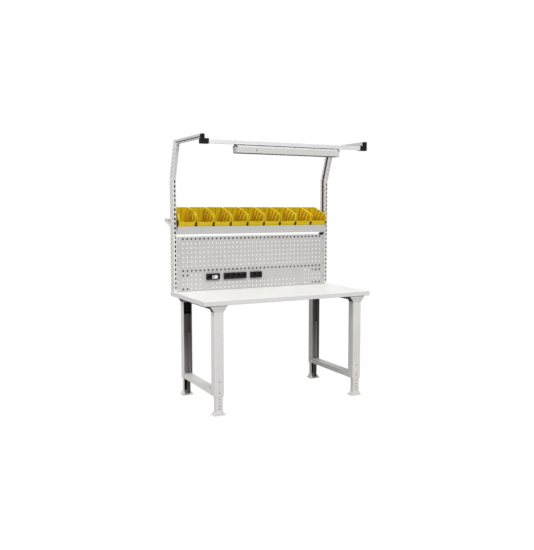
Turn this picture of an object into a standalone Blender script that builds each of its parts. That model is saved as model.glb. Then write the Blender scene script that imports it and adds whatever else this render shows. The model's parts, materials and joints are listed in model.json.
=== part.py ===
"""Electronics workbench: laminate worktop on two telescoping leg frames, with slotted
uprights, perforated back panels, power strips, a tilted shelf of open bins and a lamp
that slides on a cross rail under two forward arms.

Metres, +Z up. X runs along the bench, Y from its front to its rear.
Places along Y are measured from the worktop's front edge; the empty "bench" shifts all
of them so that the origin lies on the floor under the middle of the bounding box.
"""
import math

import bmesh
import bpy
from mathutils import Matrix, Vector

# %% Driving dimensions

FIT_GAP = 0.0003              # clearance left between pieces that touch
CUT_OVERRUN = 0.002           # how far a cutter runs past the face that it cuts

WORKTOP_WIDTH = 1.500
WORKTOP_DEPTH = 0.750
WORKTOP_HEIGHT = 0.885        # top face above the floor, legs as set in the picture
WORKTOP_THICKNESS = 0.035
WORKTOP_EDGE_BEVEL = 0.0015

# Leg frames
LEG_INSET_X = 0.120           # middle of each frame from the worktop's end
LEG_FRONT_SETBACK = 0.008     # front column's face behind the worktop's front edge
LEG_REAR_SETBACK = 0.011      # rear column's back before the worktop's rear edge
COLUMN_WIDTH = 0.075
COLUMN_DEPTH = 0.072
COLUMN_WALL = 0.002
COLUMN_BOTTOM = 0.148         # height of the columns' lower ends
FLANGE_HOLE_RADIUS = 0.003
FLANGE_HOLE_EDGE = 0.010      # hole centres from the flange's free edge
FLANGE_HOLE_PITCH = 0.050
FLANGE_HOLE_COUNT = 10
FLANGE_HOLE_TOP_DROP = 0.025  # first hole below the column's top
COLUMN_SLOT_WIDTH = 0.009
COLUMN_SLOT_HEIGHT = 0.032
COLUMN_SLOT_RISE = 0.034      # slot's middle above the column's lower end
COLUMN_BOLT_RISE = 0.117      # upper clamp bolt above the column's lower end
INNER_LEG_WIDTH = 0.058
INNER_LEG_DEPTH = 0.042
INNER_LEG_WALL = 0.0025
INNER_LEG_TOP = 0.534
INNER_LEG_HOLE_RADIUS = 0.0045
INNER_LEG_HOLE_PITCH = 0.025
INNER_LEG_FIRST_HOLE = 0.052
INNER_LEG_HOLE_COUNT = 6
FOOT_WIDTH = 0.098
FOOT_DEPTH = 0.070
FOOT_HEIGHT = 0.028
FOOT_TOP_WIDTH = 0.066
FOOT_TOP_DEPTH = 0.050
FOOT_PLATE = 0.004
FOOT_INWARD_SHIFT = 0.008     # foot's middle from the leg's middle, to the bench's inside
BEAM_TOP_WIDTH = 0.150
BEAM_HEIGHT = 0.050           # over the legs
BEAM_WAIST_HEIGHT = 0.034     # between the legs
BEAM_BRACKET_LENGTH = 0.076   # the deep part over each leg
BEAM_WALL = 0.002
BEAM_FLANGE = 0.018
BEAM_HOLE_RADIUS = 0.004
BEAM_HOLE_SPACING = 0.050
BEAM_HOLE_DROP = 0.022
GUSSET_RECESS = 0.0005        # end plate behind the beam's end
SIDE_RAIL_HEIGHT = 0.039
SIDE_RAIL_WALL = 0.002
SIDE_RAIL_HOLE_RADIUS = 0.004
SIDE_RAIL_HOLE_PITCH = 0.082
SIDE_RAIL_HOLE_COUNT = 7
SIDE_RAIL_HOLE_RISE = 0.019   # above the rail's lower edge

# Uprights: lipped channels that stand on the worktop and lean forward at the top
UPRIGHT_SETBACK_X = 0.005     # web's outer face from the worktop's end
UPRIGHT_WIDTH = 0.025
UPRIGHT_DEPTH = 0.080
UPRIGHT_LIP = 0.025
UPRIGHT_WALL = 0.0015
UPRIGHT_BEND_HEIGHT = 1.821   # bend at the front flange
UPRIGHT_LEAN = math.radians(20.0)
UPRIGHT_LEAN_LENGTH = 0.294   # slanted part along its front flange
SLOT_WIDTH = 0.014
SLOT_HEIGHT = 0.023
SLOT_SIDE_MARGIN = 0.0055     # slot from the web's outer face
SLOT_TOP_DROP = 0.024         # first slot's middle below the bend
SLOT_BASE_MARGIN = 0.020       # least height of the last slot's middle above the worktop
SOLE_SHEET = 0.003            # plate welded across the upright's lower end
SOLE_RECESS = 0.0005

# Perforated panels
HOLE_PITCH = 0.038
HOLE_SIZE = 0.010
HOLE_END_MARGIN = 0.035       # least plain strip at the panel's ends, besides half a pitch
UPPER_ROWS = 8
LOWER_ROWS = 4
LOWER_END_COLUMNS = 5         # full columns at each end of the lower panel
LOWER_PLAIN_COLUMNS = 2       # plain columns between them and the strip of low rows
LOWER_LOW_ROWS = 2
UPPER_MARGIN_ROWS = (1.5, 4.5, 7.5)
LOWER_MARGIN_ROWS = (2.5,)
PANEL_RISE = 0.003            # lower panel's edge above the worktop
PANEL_SETBACK = 0.001         # panel face behind the uprights' front
PANEL_SHEET = 0.0015
PANEL_FLANGE = 0.022
PANEL_RETURN = 0.028
LOWER_PANEL_FLANGE = 0.014
MARGIN_SLOT_WIDTH = 0.004
MARGIN_SLOT_HEIGHT = 0.022
MARGIN_SLOT_INSET = 0.017     # from the panel's end
PANEL_BRACKET_WIDTH = 0.121
PANEL_BRACKET_SHEET = 0.002
PANEL_BRACKET_ARM = 0.028     # height of each arm of the bracket

# Power strips in the lower panel
STRIP_HEIGHT = 0.052
STRIP_PROUD = 0.022           # in front of the panel
STRIP_BACK_DEPTH = 0.028      # behind the panel's face
STRIP_LIP = 0.004             # bezel round the panel's cut-out
STRIP_BEVEL = 0.0015
STRIP_CENTRE_RISE = 0.118     # above the worktop
SWITCH_INSET = 0.260           # switch housing's end from the panel's left end
SWITCH_WIDTH = 0.120
STRIP_GAP = 0.042              # plain panel between neighbouring strips
FOUR_SOCKET_WIDTH = 0.209
TWO_SOCKET_WIDTH = 0.108
SOCKET_PITCH = 0.050
SOCKET_RADIUS = 0.019
SOCKET_RECESS = 0.015
PIN_HOLE_RADIUS = 0.0026
PIN_HOLE_SPACING = 0.019
PIN_HOLE_DEPTH = 0.010
PIN_HOLE_TURN = math.radians(45.0)
SWITCH_PLATE_WIDTH = 0.053
SWITCH_PLATE_HEIGHT = 0.035
SWITCH_PLATE_SHIFT = 0.0135   # plate's middle from the housing's middle
SWITCH_PLATE_THICKNESS = 0.006
SWITCH_PLATE_PROUD = 0.002
ROCKER_WIDTH = 0.012
ROCKER_HEIGHT = 0.018
ROCKER_PROUD = 0.002
ROCKER_DEPTH = 0.007          # from its face to its hinge axis
ROCKER_SHIFT = -0.013         # rocker's middle from the plate's middle
ROCKER_CLEARANCE = 0.0012     # above and below, for its swing
INLET_WIDTH = 0.027
INLET_HEIGHT = 0.020
INLET_DEPTH = 0.014
INLET_SHIFT = -0.036          # inlet's middle from the housing's middle
INLET_PIN_WIDTH = 0.002
INLET_PIN_HEIGHT = 0.004
INLET_PIN_SPACING = 0.007
INLET_PIN_LENGTH = 0.010

# Tilted shelf
SHELF_TILT = math.radians(18.0)
SHELF_LIP_REACH = 0.010       # lip's foot before the uprights' front
SHELF_LIP_RISE = 0.503        # lip's foot above the worktop
SHELF_DEPTH = 0.317
SHELF_SHEET = 0.0012
LIP_RISE = 0.044              # lip above the shelf's reference plane
LIP_DROP = 0.0245             # lip below that plane
FLANGE_DROP = 0.018           # rear and end flanges below that plane
LIP_FOLD = 0.0032             # doubled lip, outside to outside
PLATE_RISE = 0.002
SHELF_SIDE_GAP = 0.0027       # tray's end to the upright's lip
PIVOT_FROM_LIP = 0.053
PIVOT_DROP = 0.0095
PIVOT_HOLE_RADIUS = 0.0045
LOCK_RADIUS = 0.036           # lock bolt's distance before the pivot
LOCK_SLOT_HALF_WIDTH = 0.0035
BRACKET_SHEET = 0.0021
BRACKET_DEPTH = 0.078
BRACKET_HEIGHT = 0.095
BRACKET_TAB_DEPTH = 0.027
BRACKET_TAB_HEIGHT = 0.060
BRACKET_TAB_REACH = 0.014

# Bins
BIN_COUNT = 9
BIN_GAP = 0.0086              # between neighbours
BIN_END_CLEARANCE = 0.0079    # between the outer bins and the tray's ends
BIN_DEPTH = 0.215
BIN_HEIGHT = 0.135
BIN_WALL = 0.0022
BIN_FRONT_HEIGHT = 0.0745
BIN_CORNER_RADIUS = 0.030
BIN_SETBACK = 0.005           # bin's front from the lip's inside

# Arms, cross rail and lamp
ARM_WIDTH = 0.030
ARM_HEIGHT = 0.032
ARM_FRONT_Y = 0.083
ARM_SEAT_LENGTH = 0.0706      # arm's stretch inside the upright's head
ARM_WEB_GAP = 0.0012          # arm's side from the upright web's inside
ARM_GROOVE_WIDTH = 0.008
ARM_GROOVE_DEPTH = 0.006
ARM_GROOVE_RISE = 0.010       # side groove's middle above the arm's underside
ARM_CAP_LENGTH = 0.026
ARM_CAP_BEVEL = 0.003
CLAMP_WIDTH = 0.067
CLAMP_DEPTH = 0.040
CLAMP_HEIGHT = 0.040
CLAMP_FRONT_Y = 0.060
CLAMP_BEVEL = 0.003
CLAMP_STEM_LENGTH = 0.013
CLAMP_STEM_CLEARANCE = 0.0005
RAIL_WIDTH = 0.028
RAIL_HEIGHT = 0.029
RAIL_GROOVE_WIDTH = 0.008
RAIL_GROOVE_DEPTH = 0.006
COLLAR_LENGTH = 0.015
COLLAR_OVERSIZE = 0.0025      # collar beyond the rail, each way
LAMP_LENGTH = 0.920
LAMP_BASE_WIDTH = 0.068
LAMP_WIDTH = 0.074
LAMP_EAVE_HEIGHT = 0.044
LAMP_HEIGHT = 0.060
LAMP_RIDGE_WIDTH = 0.016
LAMP_SHEET = 0.0015
LAMP_END_CAP = 0.004
LAMP_BELOW_RAIL = 0.0035
DIFFUSER_THICKNESS = 0.003
HANGER_INSET = 0.022
HANGER_LENGTH = 0.018
HANGER_CLEARANCE = 0.0005
EAVE_CLIP_HEIGHT = 0.010
EAVE_CLIP_THICKNESS = 0.004

CLIP_WIDTH = 0.040
CLIP_HEIGHT = 0.020
CLIP_DEPTH = 0.014
CLIP_SHEET = 0.003
CLIP_INSET_X = 0.037          # clip's middle from the panel's end

# Fasteners
BOLT_SIDES = 8
BOLT_SHANK_RADIUS = 0.0037
BOLT_HOLE_RADIUS = 0.0040
BOLT_HEAD_RADIUS = 0.0080
BOLT_HEAD_HEIGHT = 0.0035
SCREW_SHANK_RADIUS = 0.0022
SCREW_HOLE_RADIUS = 0.0025
SCREW_HEAD_RADIUS = 0.0045
SCREW_HEAD_HEIGHT = 0.0025
HOLE_SIDES = 6
ARC_STEPS = 5
ROUND_SIDES = 16

# %% Derived places

WORKTOP_UNDERSIDE = WORKTOP_HEIGHT - WORKTOP_THICKNESS
LEG_CENTRE_X = WORKTOP_WIDTH / 2 - LEG_INSET_X
BEAM_TOP = WORKTOP_UNDERSIDE - FIT_GAP
BEAM_BOTTOM = BEAM_TOP - BEAM_HEIGHT
BEAM_WAIST = BEAM_TOP - BEAM_WAIST_HEIGHT
COLUMN_TOP = BEAM_BOTTOM - FIT_GAP
LEG_FRONT_Y = LEG_FRONT_SETBACK
LEG_REAR_Y = WORKTOP_DEPTH - LEG_REAR_SETBACK
UPRIGHT_OUTER_X = WORKTOP_WIDTH / 2 - UPRIGHT_SETBACK_X
UPRIGHT_INNER_X = UPRIGHT_OUTER_X - UPRIGHT_WIDTH
UPRIGHT_REAR_Y = WORKTOP_DEPTH
UPRIGHT_FRONT_Y = UPRIGHT_REAR_Y - UPRIGHT_DEPTH
UPRIGHT_BASE = WORKTOP_HEIGHT + FIT_GAP
SLOT_REACH = UPRIGHT_BEND_HEIGHT - SLOT_TOP_DROP - UPRIGHT_BASE - SLOT_BASE_MARGIN
SLOT_COUNT = int(SLOT_REACH / HOLE_PITCH) + 1
UPRIGHT_TOP_FRONT_Y = UPRIGHT_FRONT_Y - UPRIGHT_LEAN_LENGTH * math.sin(UPRIGHT_LEAN)
UPRIGHT_TOP_FRONT_Z = UPRIGHT_BEND_HEIGHT + UPRIGHT_LEAN_LENGTH * math.cos(UPRIGHT_LEAN)
PANEL_HALF_WIDTH = UPRIGHT_INNER_X - FIT_GAP
PANEL_FRONT_Y = UPRIGHT_FRONT_Y + PANEL_SETBACK
HOLE_COLUMNS = int(2 * (PANEL_HALF_WIDTH - HOLE_END_MARGIN) / HOLE_PITCH)
LOWER_PANEL_BOTTOM = WORKTOP_HEIGHT + PANEL_RISE
LOWER_PANEL_TOP = LOWER_PANEL_BOTTOM + LOWER_ROWS * HOLE_PITCH
UPPER_PANEL_BOTTOM = LOWER_PANEL_TOP + FIT_GAP
UPPER_PANEL_TOP = UPPER_PANEL_BOTTOM + UPPER_ROWS * HOLE_PITCH
STRIP_CENTRE_Z = WORKTOP_HEIGHT + STRIP_CENTRE_RISE
SWITCH_CENTRE_X = SWITCH_INSET + SWITCH_WIDTH / 2 - PANEL_HALF_WIDTH
FOUR_SOCKET_CENTRE_X = SWITCH_CENTRE_X + (SWITCH_WIDTH + FOUR_SOCKET_WIDTH) / 2 + STRIP_GAP
TWO_SOCKET_CENTRE_X = FOUR_SOCKET_CENTRE_X + (FOUR_SOCKET_WIDTH + TWO_SOCKET_WIDTH) / 2 + STRIP_GAP
ARM_REAR_Y = UPRIGHT_TOP_FRONT_Y + ARM_SEAT_LENGTH
ARM_BOTTOM = UPRIGHT_TOP_FRONT_Z - FIT_GAP
ARM_TOP = ARM_BOTTOM + ARM_HEIGHT
ARM_OUTER_X = UPRIGHT_OUTER_X - UPRIGHT_WALL - ARM_WEB_GAP
ARM_INNER_X = ARM_OUTER_X - ARM_WIDTH
ARM_MIDDLE_X = (ARM_OUTER_X + ARM_INNER_X) / 2
CLAMP_TOP = ARM_BOTTOM - FIT_GAP
CLAMP_BOTTOM = CLAMP_TOP - CLAMP_HEIGHT
CLAMP_OUTER_X = UPRIGHT_OUTER_X
CLAMP_INNER_X = CLAMP_OUTER_X - CLAMP_WIDTH
RAIL_MIDDLE_Y = CLAMP_FRONT_Y + CLAMP_DEPTH / 2
RAIL_MIDDLE_Z = (CLAMP_TOP + CLAMP_BOTTOM) / 2
RAIL_BOTTOM = RAIL_MIDDLE_Z - RAIL_HEIGHT / 2
RAIL_HALF_LENGTH = CLAMP_INNER_X - FIT_GAP
LAMP_TOP = RAIL_BOTTOM - LAMP_BELOW_RAIL
LAMP_BOTTOM = LAMP_TOP - LAMP_HEIGHT
SHELF_LIP_Y = UPRIGHT_FRONT_Y - SHELF_LIP_REACH
SHELF_LIP_Z = WORKTOP_HEIGHT + SHELF_LIP_RISE
TRAY_HALF_WIDTH = UPRIGHT_INNER_X - SHELF_SIDE_GAP
BIN_PITCH = (2 * (TRAY_HALF_WIDTH - BIN_END_CLEARANCE) + BIN_GAP) / BIN_COUNT
BIN_WIDTH = BIN_PITCH - BIN_GAP
TRAY_TOP = PLATE_RISE + SHELF_SHEET
PIVOT_Y = SHELF_LIP_Y + PIVOT_FROM_LIP * math.cos(SHELF_TILT) + PIVOT_DROP * math.sin(SHELF_TILT)
PIVOT_Z = SHELF_LIP_Z + PIVOT_FROM_LIP * math.sin(SHELF_TILT) - PIVOT_DROP * math.cos(SHELF_TILT)
SHELF_REAR_Y = (SHELF_LIP_Y + (SHELF_DEPTH + SHELF_SHEET) * math.cos(SHELF_TILT)
                + FLANGE_DROP * math.sin(SHELF_TILT))
BENCH_MIDDLE_Y = SHELF_REAR_Y / 2

SIDES = {"left": -1, "right": 1}

# %% Scene and materials


def clear_scene():
    for obj in list(bpy.data.objects):
        bpy.data.objects.remove(obj, do_unlink=True)


def new_collection(name):
    collection = bpy.data.collections.new(name)
    bpy.context.scene.collection.children.link(collection)
    return collection


clear_scene()
PARTS = new_collection("electronics_workbench")
CUTTERS = new_collection("cutters")


def new_empty(name, location, parent=None, tilt=0.0):
    empty = bpy.data.objects.new(name, None)
    PARTS.objects.link(empty)
    empty.parent = parent
    empty.location = location
    empty.rotation_euler = (tilt, 0.0, 0.0)
    return empty


BENCH = new_empty("bench", (0.0, -BENCH_MIDDLE_Y, 0.0))


def new_material(name, colour, roughness, metallic=0.0):
    material = bpy.data.materials.new(name)
    material.use_nodes = True
    shader = material.node_tree.nodes["Principled BSDF"]
    shader.inputs["Base Color"].default_value = (*colour, 1.0)
    shader.inputs["Roughness"].default_value = roughness
    shader.inputs["Metallic"].default_value = metallic
    return material


LAMINATE = new_material("white_laminate", (0.85, 0.85, 0.84), 0.35)
FRAME_PAINT = new_material("light_grey_powder_coat", (0.62, 0.62, 0.60), 0.5)
PANEL_PAINT = new_material("grey_panel_coat", (0.52, 0.52, 0.51), 0.5)
BIN_PLASTIC = new_material("yellow_polypropylene", (0.70, 0.50, 0.02), 0.45)
BLACK_PLASTIC = new_material("black_plastic", (0.012, 0.012, 0.013), 0.4)
ALUMINIUM = new_material("anodised_aluminium", (0.75, 0.75, 0.75), 0.35, 0.9)
LAMP_PAINT = new_material("lamp_white_paint", (0.72, 0.72, 0.72), 0.4)
DIFFUSER_PLASTIC = new_material("opal_diffuser", (0.90, 0.90, 0.88), 0.5)
WHITE_PLASTIC = new_material("white_plastic", (0.80, 0.81, 0.83), 0.3)
ZINC = new_material("zinc_plated_steel", (0.60, 0.61, 0.62), 0.3, 0.9)

# %% Modelling helpers


def add_object(name, mesh, material, origin=(0.0, 0.0, 0.0), parent=BENCH):
    """Object whose mesh was drawn in its parent's frame, with its origin moved to a point."""
    origin = Vector(origin)
    mesh.transform(Matrix.Translation(-origin))
    mesh.materials.append(material)
    obj = bpy.data.objects.new(name, mesh)
    PARTS.objects.link(obj)
    obj.parent = parent
    obj.location = origin
    return obj


def mesh_from(bm, name):
    mesh = bpy.data.meshes.new(name)
    bm.to_mesh(mesh)
    bm.free()
    return mesh


def add_cutter(name, bm, parent=BENCH):
    cutter = bpy.data.objects.new(name, mesh_from(bm, name))
    CUTTERS.objects.link(cutter)
    return hide_cutter(cutter, parent)


def hide_cutter(cutter, parent=BENCH):
    cutter.parent = parent
    cutter.hide_render = True
    cutter.display_type = 'WIRE'
    return cutter


def boolean(target, tool, operation='DIFFERENCE'):
    modifier = target.modifiers.new(tool.name, 'BOOLEAN')
    modifier.operation = operation
    modifier.solver = 'EXACT'
    modifier.object = tool
    return target


def bevel(obj, width):
    modifier = obj.modifiers.new("rounded_edges", 'BEVEL')
    modifier.width = width
    modifier.segments = 1
    modifier.limit_method = 'ANGLE'
    return obj


def draw_box(bm, low, high):
    low, high = Vector(low), Vector(high)
    matrix = Matrix.Translation((low + high) / 2) @ Matrix.Diagonal((*(high - low), 1.0))
    return bmesh.ops.create_cube(bm, size=1.0, matrix=matrix)["verts"]


def draw_rod(bm, start, end, radius, sides=ROUND_SIDES):
    start, end = Vector(start), Vector(end)
    turn = (end - start).to_track_quat('Z', 'Y').to_matrix().to_4x4()
    matrix = Matrix.Translation((start + end) / 2) @ turn
    bmesh.ops.create_cone(bm, cap_ends=True, segments=sides, radius1=radius, radius2=radius,
                          depth=(end - start).length, matrix=matrix)


def add_box(name, low, high, material, edge_bevel=0.0, origin=(0.0, 0.0, 0.0), parent=BENCH):
    bm = bmesh.new()
    draw_box(bm, low, high)
    obj = add_object(name, mesh_from(bm, name), material, origin, parent)
    return bevel(obj, edge_bevel) if edge_bevel else obj


def box_cutter(name, boxes, parent=BENCH):
    bm = bmesh.new()
    for low, high in boxes:
        draw_box(bm, low, high)
    return add_cutter(name, bm, parent)


def rod_cutter(name, rods, radius, sides=ROUND_SIDES, parent=BENCH):
    bm = bmesh.new()
    for start, end in rods:
        draw_rod(bm, start, end, radius, sides)
    return add_cutter(name, bm, parent)


def span(middle, length):
    return middle - length / 2, middle + length / 2


def side_span(side, inner, outer):
    """Low and high X of a stretch given by its distances from the bench's middle."""
    return sorted((side * inner, side * outer))


OUTLINE_FRAMES = {
    "X": Matrix(((0, 0, 1, 0), (1, 0, 0, 0), (0, 1, 0, 0), (0, 0, 0, 1))),
    "Y": Matrix(((1, 0, 0, 0), (0, 0, -1, 0), (0, 1, 0, 0), (0, 0, 0, 1))),
    "Z": Matrix.Identity(4),
}


def outline_mesh(name, loops, axis, start, stop):
    """Mesh of a flat outline given a thickness along one axis, from start to stop.

    The outline's points are (y, z) for axis X, (x, z) for axis Y and (x, y) for axis Z.
    """
    curve = bpy.data.curves.new(name, 'CURVE')
    curve.dimensions = '2D'
    curve.fill_mode = 'BOTH'
    curve.extrude = (stop - start) / 2
    for points in loops:
        spline = curve.splines.new('POLY')
        spline.points.add(len(points) - 1)
        for point, (a, b) in zip(spline.points, points):
            point.co = (a, b, 0.0, 1.0)
        spline.use_cyclic_u = True
    guide = bpy.data.objects.new(name, curve)
    PARTS.objects.link(guide)
    depsgraph = bpy.context.evaluated_depsgraph_get()
    mesh = bpy.data.meshes.new_from_object(guide.evaluated_get(depsgraph))
    bpy.data.objects.remove(guide, do_unlink=True)
    middle = (start + stop) / 2
    offset = -middle if axis == "Y" else middle
    mesh.transform(OUTLINE_FRAMES[axis] @ Matrix.Translation((0.0, 0.0, offset)))
    bm = bmesh.new()
    bm.from_mesh(mesh)
    bmesh.ops.remove_doubles(bm, verts=bm.verts, dist=FIT_GAP / 10)
    bmesh.ops.recalc_face_normals(bm, faces=bm.faces)
    bm.to_mesh(mesh)
    bm.free()
    return mesh


def add_outline(name, loops, axis, start, stop, material, origin=(0.0, 0.0, 0.0), parent=BENCH):
    mesh = outline_mesh(name, loops, axis, start, stop)
    return add_object(name, mesh, material, origin, parent)


def folded_mesh(name, path, stations, material_side):
    """Open sheet: a folded path carried through stations, each a function (a, b) -> point.

    material_side is 1 where the sheet's thickness lies left of the path, -1 right of it.
    """
    bm = bmesh.new()
    verts = [bm.verts.new(stations[0](*point)) for point in path]
    edges = [bm.edges.new(ends) for ends in zip(verts, verts[1:])]
    first_edge = edges[0]
    for station in stations[1:]:
        order = {tuple(vert.co): index for index, vert in enumerate(verts)}
        geometry = bmesh.ops.extrude_edge_only(bm, edges=edges)["geom"]
        fresh = [item for item in geometry if isinstance(item, bmesh.types.BMVert)]
        fresh.sort(key=lambda vert: order[tuple(vert.co)])
        for vert, point in zip(fresh, path):
            vert.co = station(*point)
        edges = [item for item in geometry if isinstance(item, bmesh.types.BMEdge)
                 and all(vert in fresh for vert in item.verts)]
        verts = fresh
    bm.normal_update()
    (a0, b0), (a1, b1) = path[:2]
    start = Vector(stations[0](a0, b0))
    left = Vector(stations[0](a0 - (b1 - b0), b0 + (a1 - a0))) - start
    if first_edge.link_faces[0].normal.dot(left) * material_side > 0.0:
        bmesh.ops.reverse_faces(bm, faces=bm.faces)
    return mesh_from(bm, name)


def add_folded(name, path, stations, thickness, material, material_side=1,
               origin=(0.0, 0.0, 0.0), parent=BENCH):
    mesh = folded_mesh(name, path, stations, material_side)
    obj = add_object(name, mesh, material, origin, parent)
    solidify = obj.modifiers.new("sheet", 'SOLIDIFY')
    solidify.thickness = thickness
    solidify.offset = -1.0
    solidify.use_even_offset = True
    return obj


def along_x(x):
    return lambda a, b: (x, a, b)


def along_y(y):
    return lambda a, b: (a, y, b)


def along_z(z):
    return lambda a, b: (a, b, z)


def add_bolt(name, seat, direction, shank_radius, shank_length, head_radius, head_height,
             parent=BENCH):
    """Bolt by its seat point; direction points out of the head, the shank runs the other way."""
    profile = ((0.0, -shank_length), (shank_radius, -shank_length), (shank_radius, 0.0),
               (head_radius, 0.0), (head_radius, head_height), (0.0, head_height))
    bm = bmesh.new()
    verts = [bm.verts.new((radius, 0.0, height)) for radius, height in profile]
    edges = [bm.edges.new(ends) for ends in zip(verts, verts[1:])]
    bmesh.ops.spin(bm, geom=verts + edges, cent=(0.0, 0.0, 0.0), axis=(0.0, 0.0, 1.0),
                   angle=math.tau, steps=BOLT_SIDES, use_merge=True)
    bmesh.ops.remove_doubles(bm, verts=bm.verts, dist=FIT_GAP / 10)
    bmesh.ops.recalc_face_normals(bm, faces=bm.faces)
    turn = Vector(direction).to_track_quat('Z', 'Y').to_matrix().to_4x4()
    bmesh.ops.transform(bm, matrix=Matrix.Translation(seat) @ turn, verts=bm.verts)
    return add_object(name, mesh_from(bm, name), ZINC, seat, parent)


# %% Worktop and leg frames


def build_worktop():
    half = WORKTOP_WIDTH / 2
    add_box("worktop", (-half, 0.0, WORKTOP_UNDERSIDE), (half, WORKTOP_DEPTH, WORKTOP_HEIGHT),
            LAMINATE, WORKTOP_EDGE_BEVEL)


def leg_places():
    """Each leg's name, side, and the Y of its closed face with the way that it opens."""
    for side_name, side in SIDES.items():
        yield f"front_{side_name}", side, LEG_FRONT_Y, 1
        yield f"rear_{side_name}", side, LEG_REAR_Y, -1


def channel_path(middle_x, width, face_y, depth, opens):
    left, right = span(middle_x, width)
    edge = face_y + opens * depth
    return [(left, edge), (left, face_y), (right, face_y), (right, edge)]


def build_column(name, side, face_y, opens):
    middle = side * LEG_CENTRE_X
    path = channel_path(middle, COLUMN_WIDTH, face_y, COLUMN_DEPTH, opens)
    column = add_folded(f"leg_column_{name}", path, [along_z(COLUMN_BOTTOM), along_z(COLUMN_TOP)],
                        COLUMN_WALL, FRAME_PAINT, material_side=opens)
    inner_flange = middle - side * COLUMN_WIDTH / 2
    holes = []
    for index in range(FLANGE_HOLE_COUNT):
        height = COLUMN_TOP - FLANGE_HOLE_TOP_DROP - index * FLANGE_HOLE_PITCH
        depth = face_y + opens * (COLUMN_DEPTH - FLANGE_HOLE_EDGE)
        holes.append(((inner_flange - CUT_OVERRUN - COLUMN_WALL, depth, height),
                      (inner_flange + CUT_OVERRUN + COLUMN_WALL, depth, height)))
    boolean(column, rod_cutter(f"{name}_flange_holes", holes, FLANGE_HOLE_RADIUS, HOLE_SIDES))
    slot_z = COLUMN_BOTTOM + COLUMN_SLOT_RISE
    face_low, face_high = sorted((face_y - opens * CUT_OVERRUN,
                                  face_y + opens * (COLUMN_WALL + CUT_OVERRUN)))
    low_x, high_x = span(middle, COLUMN_SLOT_WIDTH)
    low_z, high_z = span(slot_z, COLUMN_SLOT_HEIGHT)
    boolean(column, box_cutter(f"{name}_slot", [((low_x, face_low, low_z), (high_x, face_high, high_z))]))
    bolt_z = COLUMN_BOTTOM + COLUMN_BOLT_RISE
    rods = [((middle, face_low, bolt_z), (middle, face_high, bolt_z))]
    boolean(column, rod_cutter(f"{name}_bolt_hole", rods, BOLT_HOLE_RADIUS, BOLT_SIDES))


def build_inner_leg(name, side, face_y, opens):
    middle = side * LEG_CENTRE_X
    leg_face = face_y + opens * (COLUMN_WALL + FIT_GAP)
    path = channel_path(middle, INNER_LEG_WIDTH, leg_face, INNER_LEG_DEPTH, opens)
    origin = (middle, leg_face + opens * INNER_LEG_DEPTH / 2, COLUMN_BOTTOM)
    leg = add_folded(f"inner_leg_{name}", path,
                     [along_z(FOOT_PLATE + FIT_GAP), along_z(INNER_LEG_TOP)],
                     INNER_LEG_WALL, FRAME_PAINT, material_side=opens, origin=origin)
    holes = []
    for index in range(INNER_LEG_HOLE_COUNT):
        height = INNER_LEG_FIRST_HOLE + index * INNER_LEG_HOLE_PITCH
        holes.append(((middle, leg_face - opens * CUT_OVERRUN, height),
                      (middle, leg_face + opens * (INNER_LEG_WALL + CUT_OVERRUN), height)))
    boolean(leg, rod_cutter(f"{name}_height_holes", holes, INNER_LEG_HOLE_RADIUS, HOLE_SIDES))


def build_foot(name, side, face_y, opens):
    middle = side * LEG_CENTRE_X
    leg_middle = face_y + opens * (COLUMN_WALL + FIT_GAP + INNER_LEG_DEPTH / 2)
    foot_middle = leg_middle + opens * FOOT_INWARD_SHIFT
    low_x, high_x = span(middle, FOOT_WIDTH)
    low_y, high_y = span(foot_middle, FOOT_DEPTH)
    bm = bmesh.new()
    corners = draw_box(bm, (low_x, low_y, 0.0), (high_x, high_y, FOOT_HEIGHT))
    for vert in corners:
        if vert.co.z > FOOT_PLATE:
            vert.co.x = middle + math.copysign(FOOT_TOP_WIDTH / 2, vert.co.x - middle)
            vert.co.y = leg_middle + math.copysign(FOOT_TOP_DEPTH / 2, vert.co.y - foot_middle)
    foot = add_object(f"foot_{name}", mesh_from(bm, f"foot_{name}"), FRAME_PAINT,
                      (middle, leg_middle, COLUMN_BOTTOM))
    low_x, high_x = span(middle, INNER_LEG_WIDTH + 2 * FIT_GAP)
    low_y, high_y = span(leg_middle, INNER_LEG_DEPTH + 2 * FIT_GAP)
    pocket = [((low_x, low_y, FOOT_PLATE), (high_x, high_y, FOOT_HEIGHT + CUT_OVERRUN))]
    boolean(foot, box_cutter(f"{name}_leg_pocket", pocket))


def round_loop(centre_a, centre_b, radius):
    return [(centre_a + radius * math.cos(math.tau * index / HOLE_SIDES),
             centre_b + radius * math.sin(math.tau * index / HOLE_SIDES))
            for index in range(HOLE_SIDES)]


def gusset_loops(middle):
    """Flared end plate with two holes; its edges end inside the beam's sheet."""
    half_top = BEAM_TOP_WIDTH / 2 - BEAM_WALL / 2
    half_bottom = COLUMN_WIDTH / 2 + BEAM_WALL / 2
    low, high = BEAM_BOTTOM + BEAM_WALL / 2, BEAM_TOP - BEAM_WALL / 2
    plate = [(middle - half_bottom, low), (middle + half_bottom, low),
             (middle + half_top, high), (middle - half_top, high)]
    holes = [round_loop(middle + way * BEAM_HOLE_SPACING / 2, BEAM_TOP - BEAM_HOLE_DROP,
                        BEAM_HOLE_RADIUS) for way in (-1, 1)]
    return [plate, *holes]


def trough_half(height):
    """Half of the width inside the beam's slanted walls at a height."""
    bottom, mouth = COLUMN_WIDTH / 2 - BEAM_WALL, BEAM_TOP_WIDTH / 2 - BEAM_FLANGE
    rise = height - BEAM_BOTTOM - BEAM_WALL
    return bottom + (mouth - bottom) * rise / (BEAM_HEIGHT - BEAM_WALL)


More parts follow.
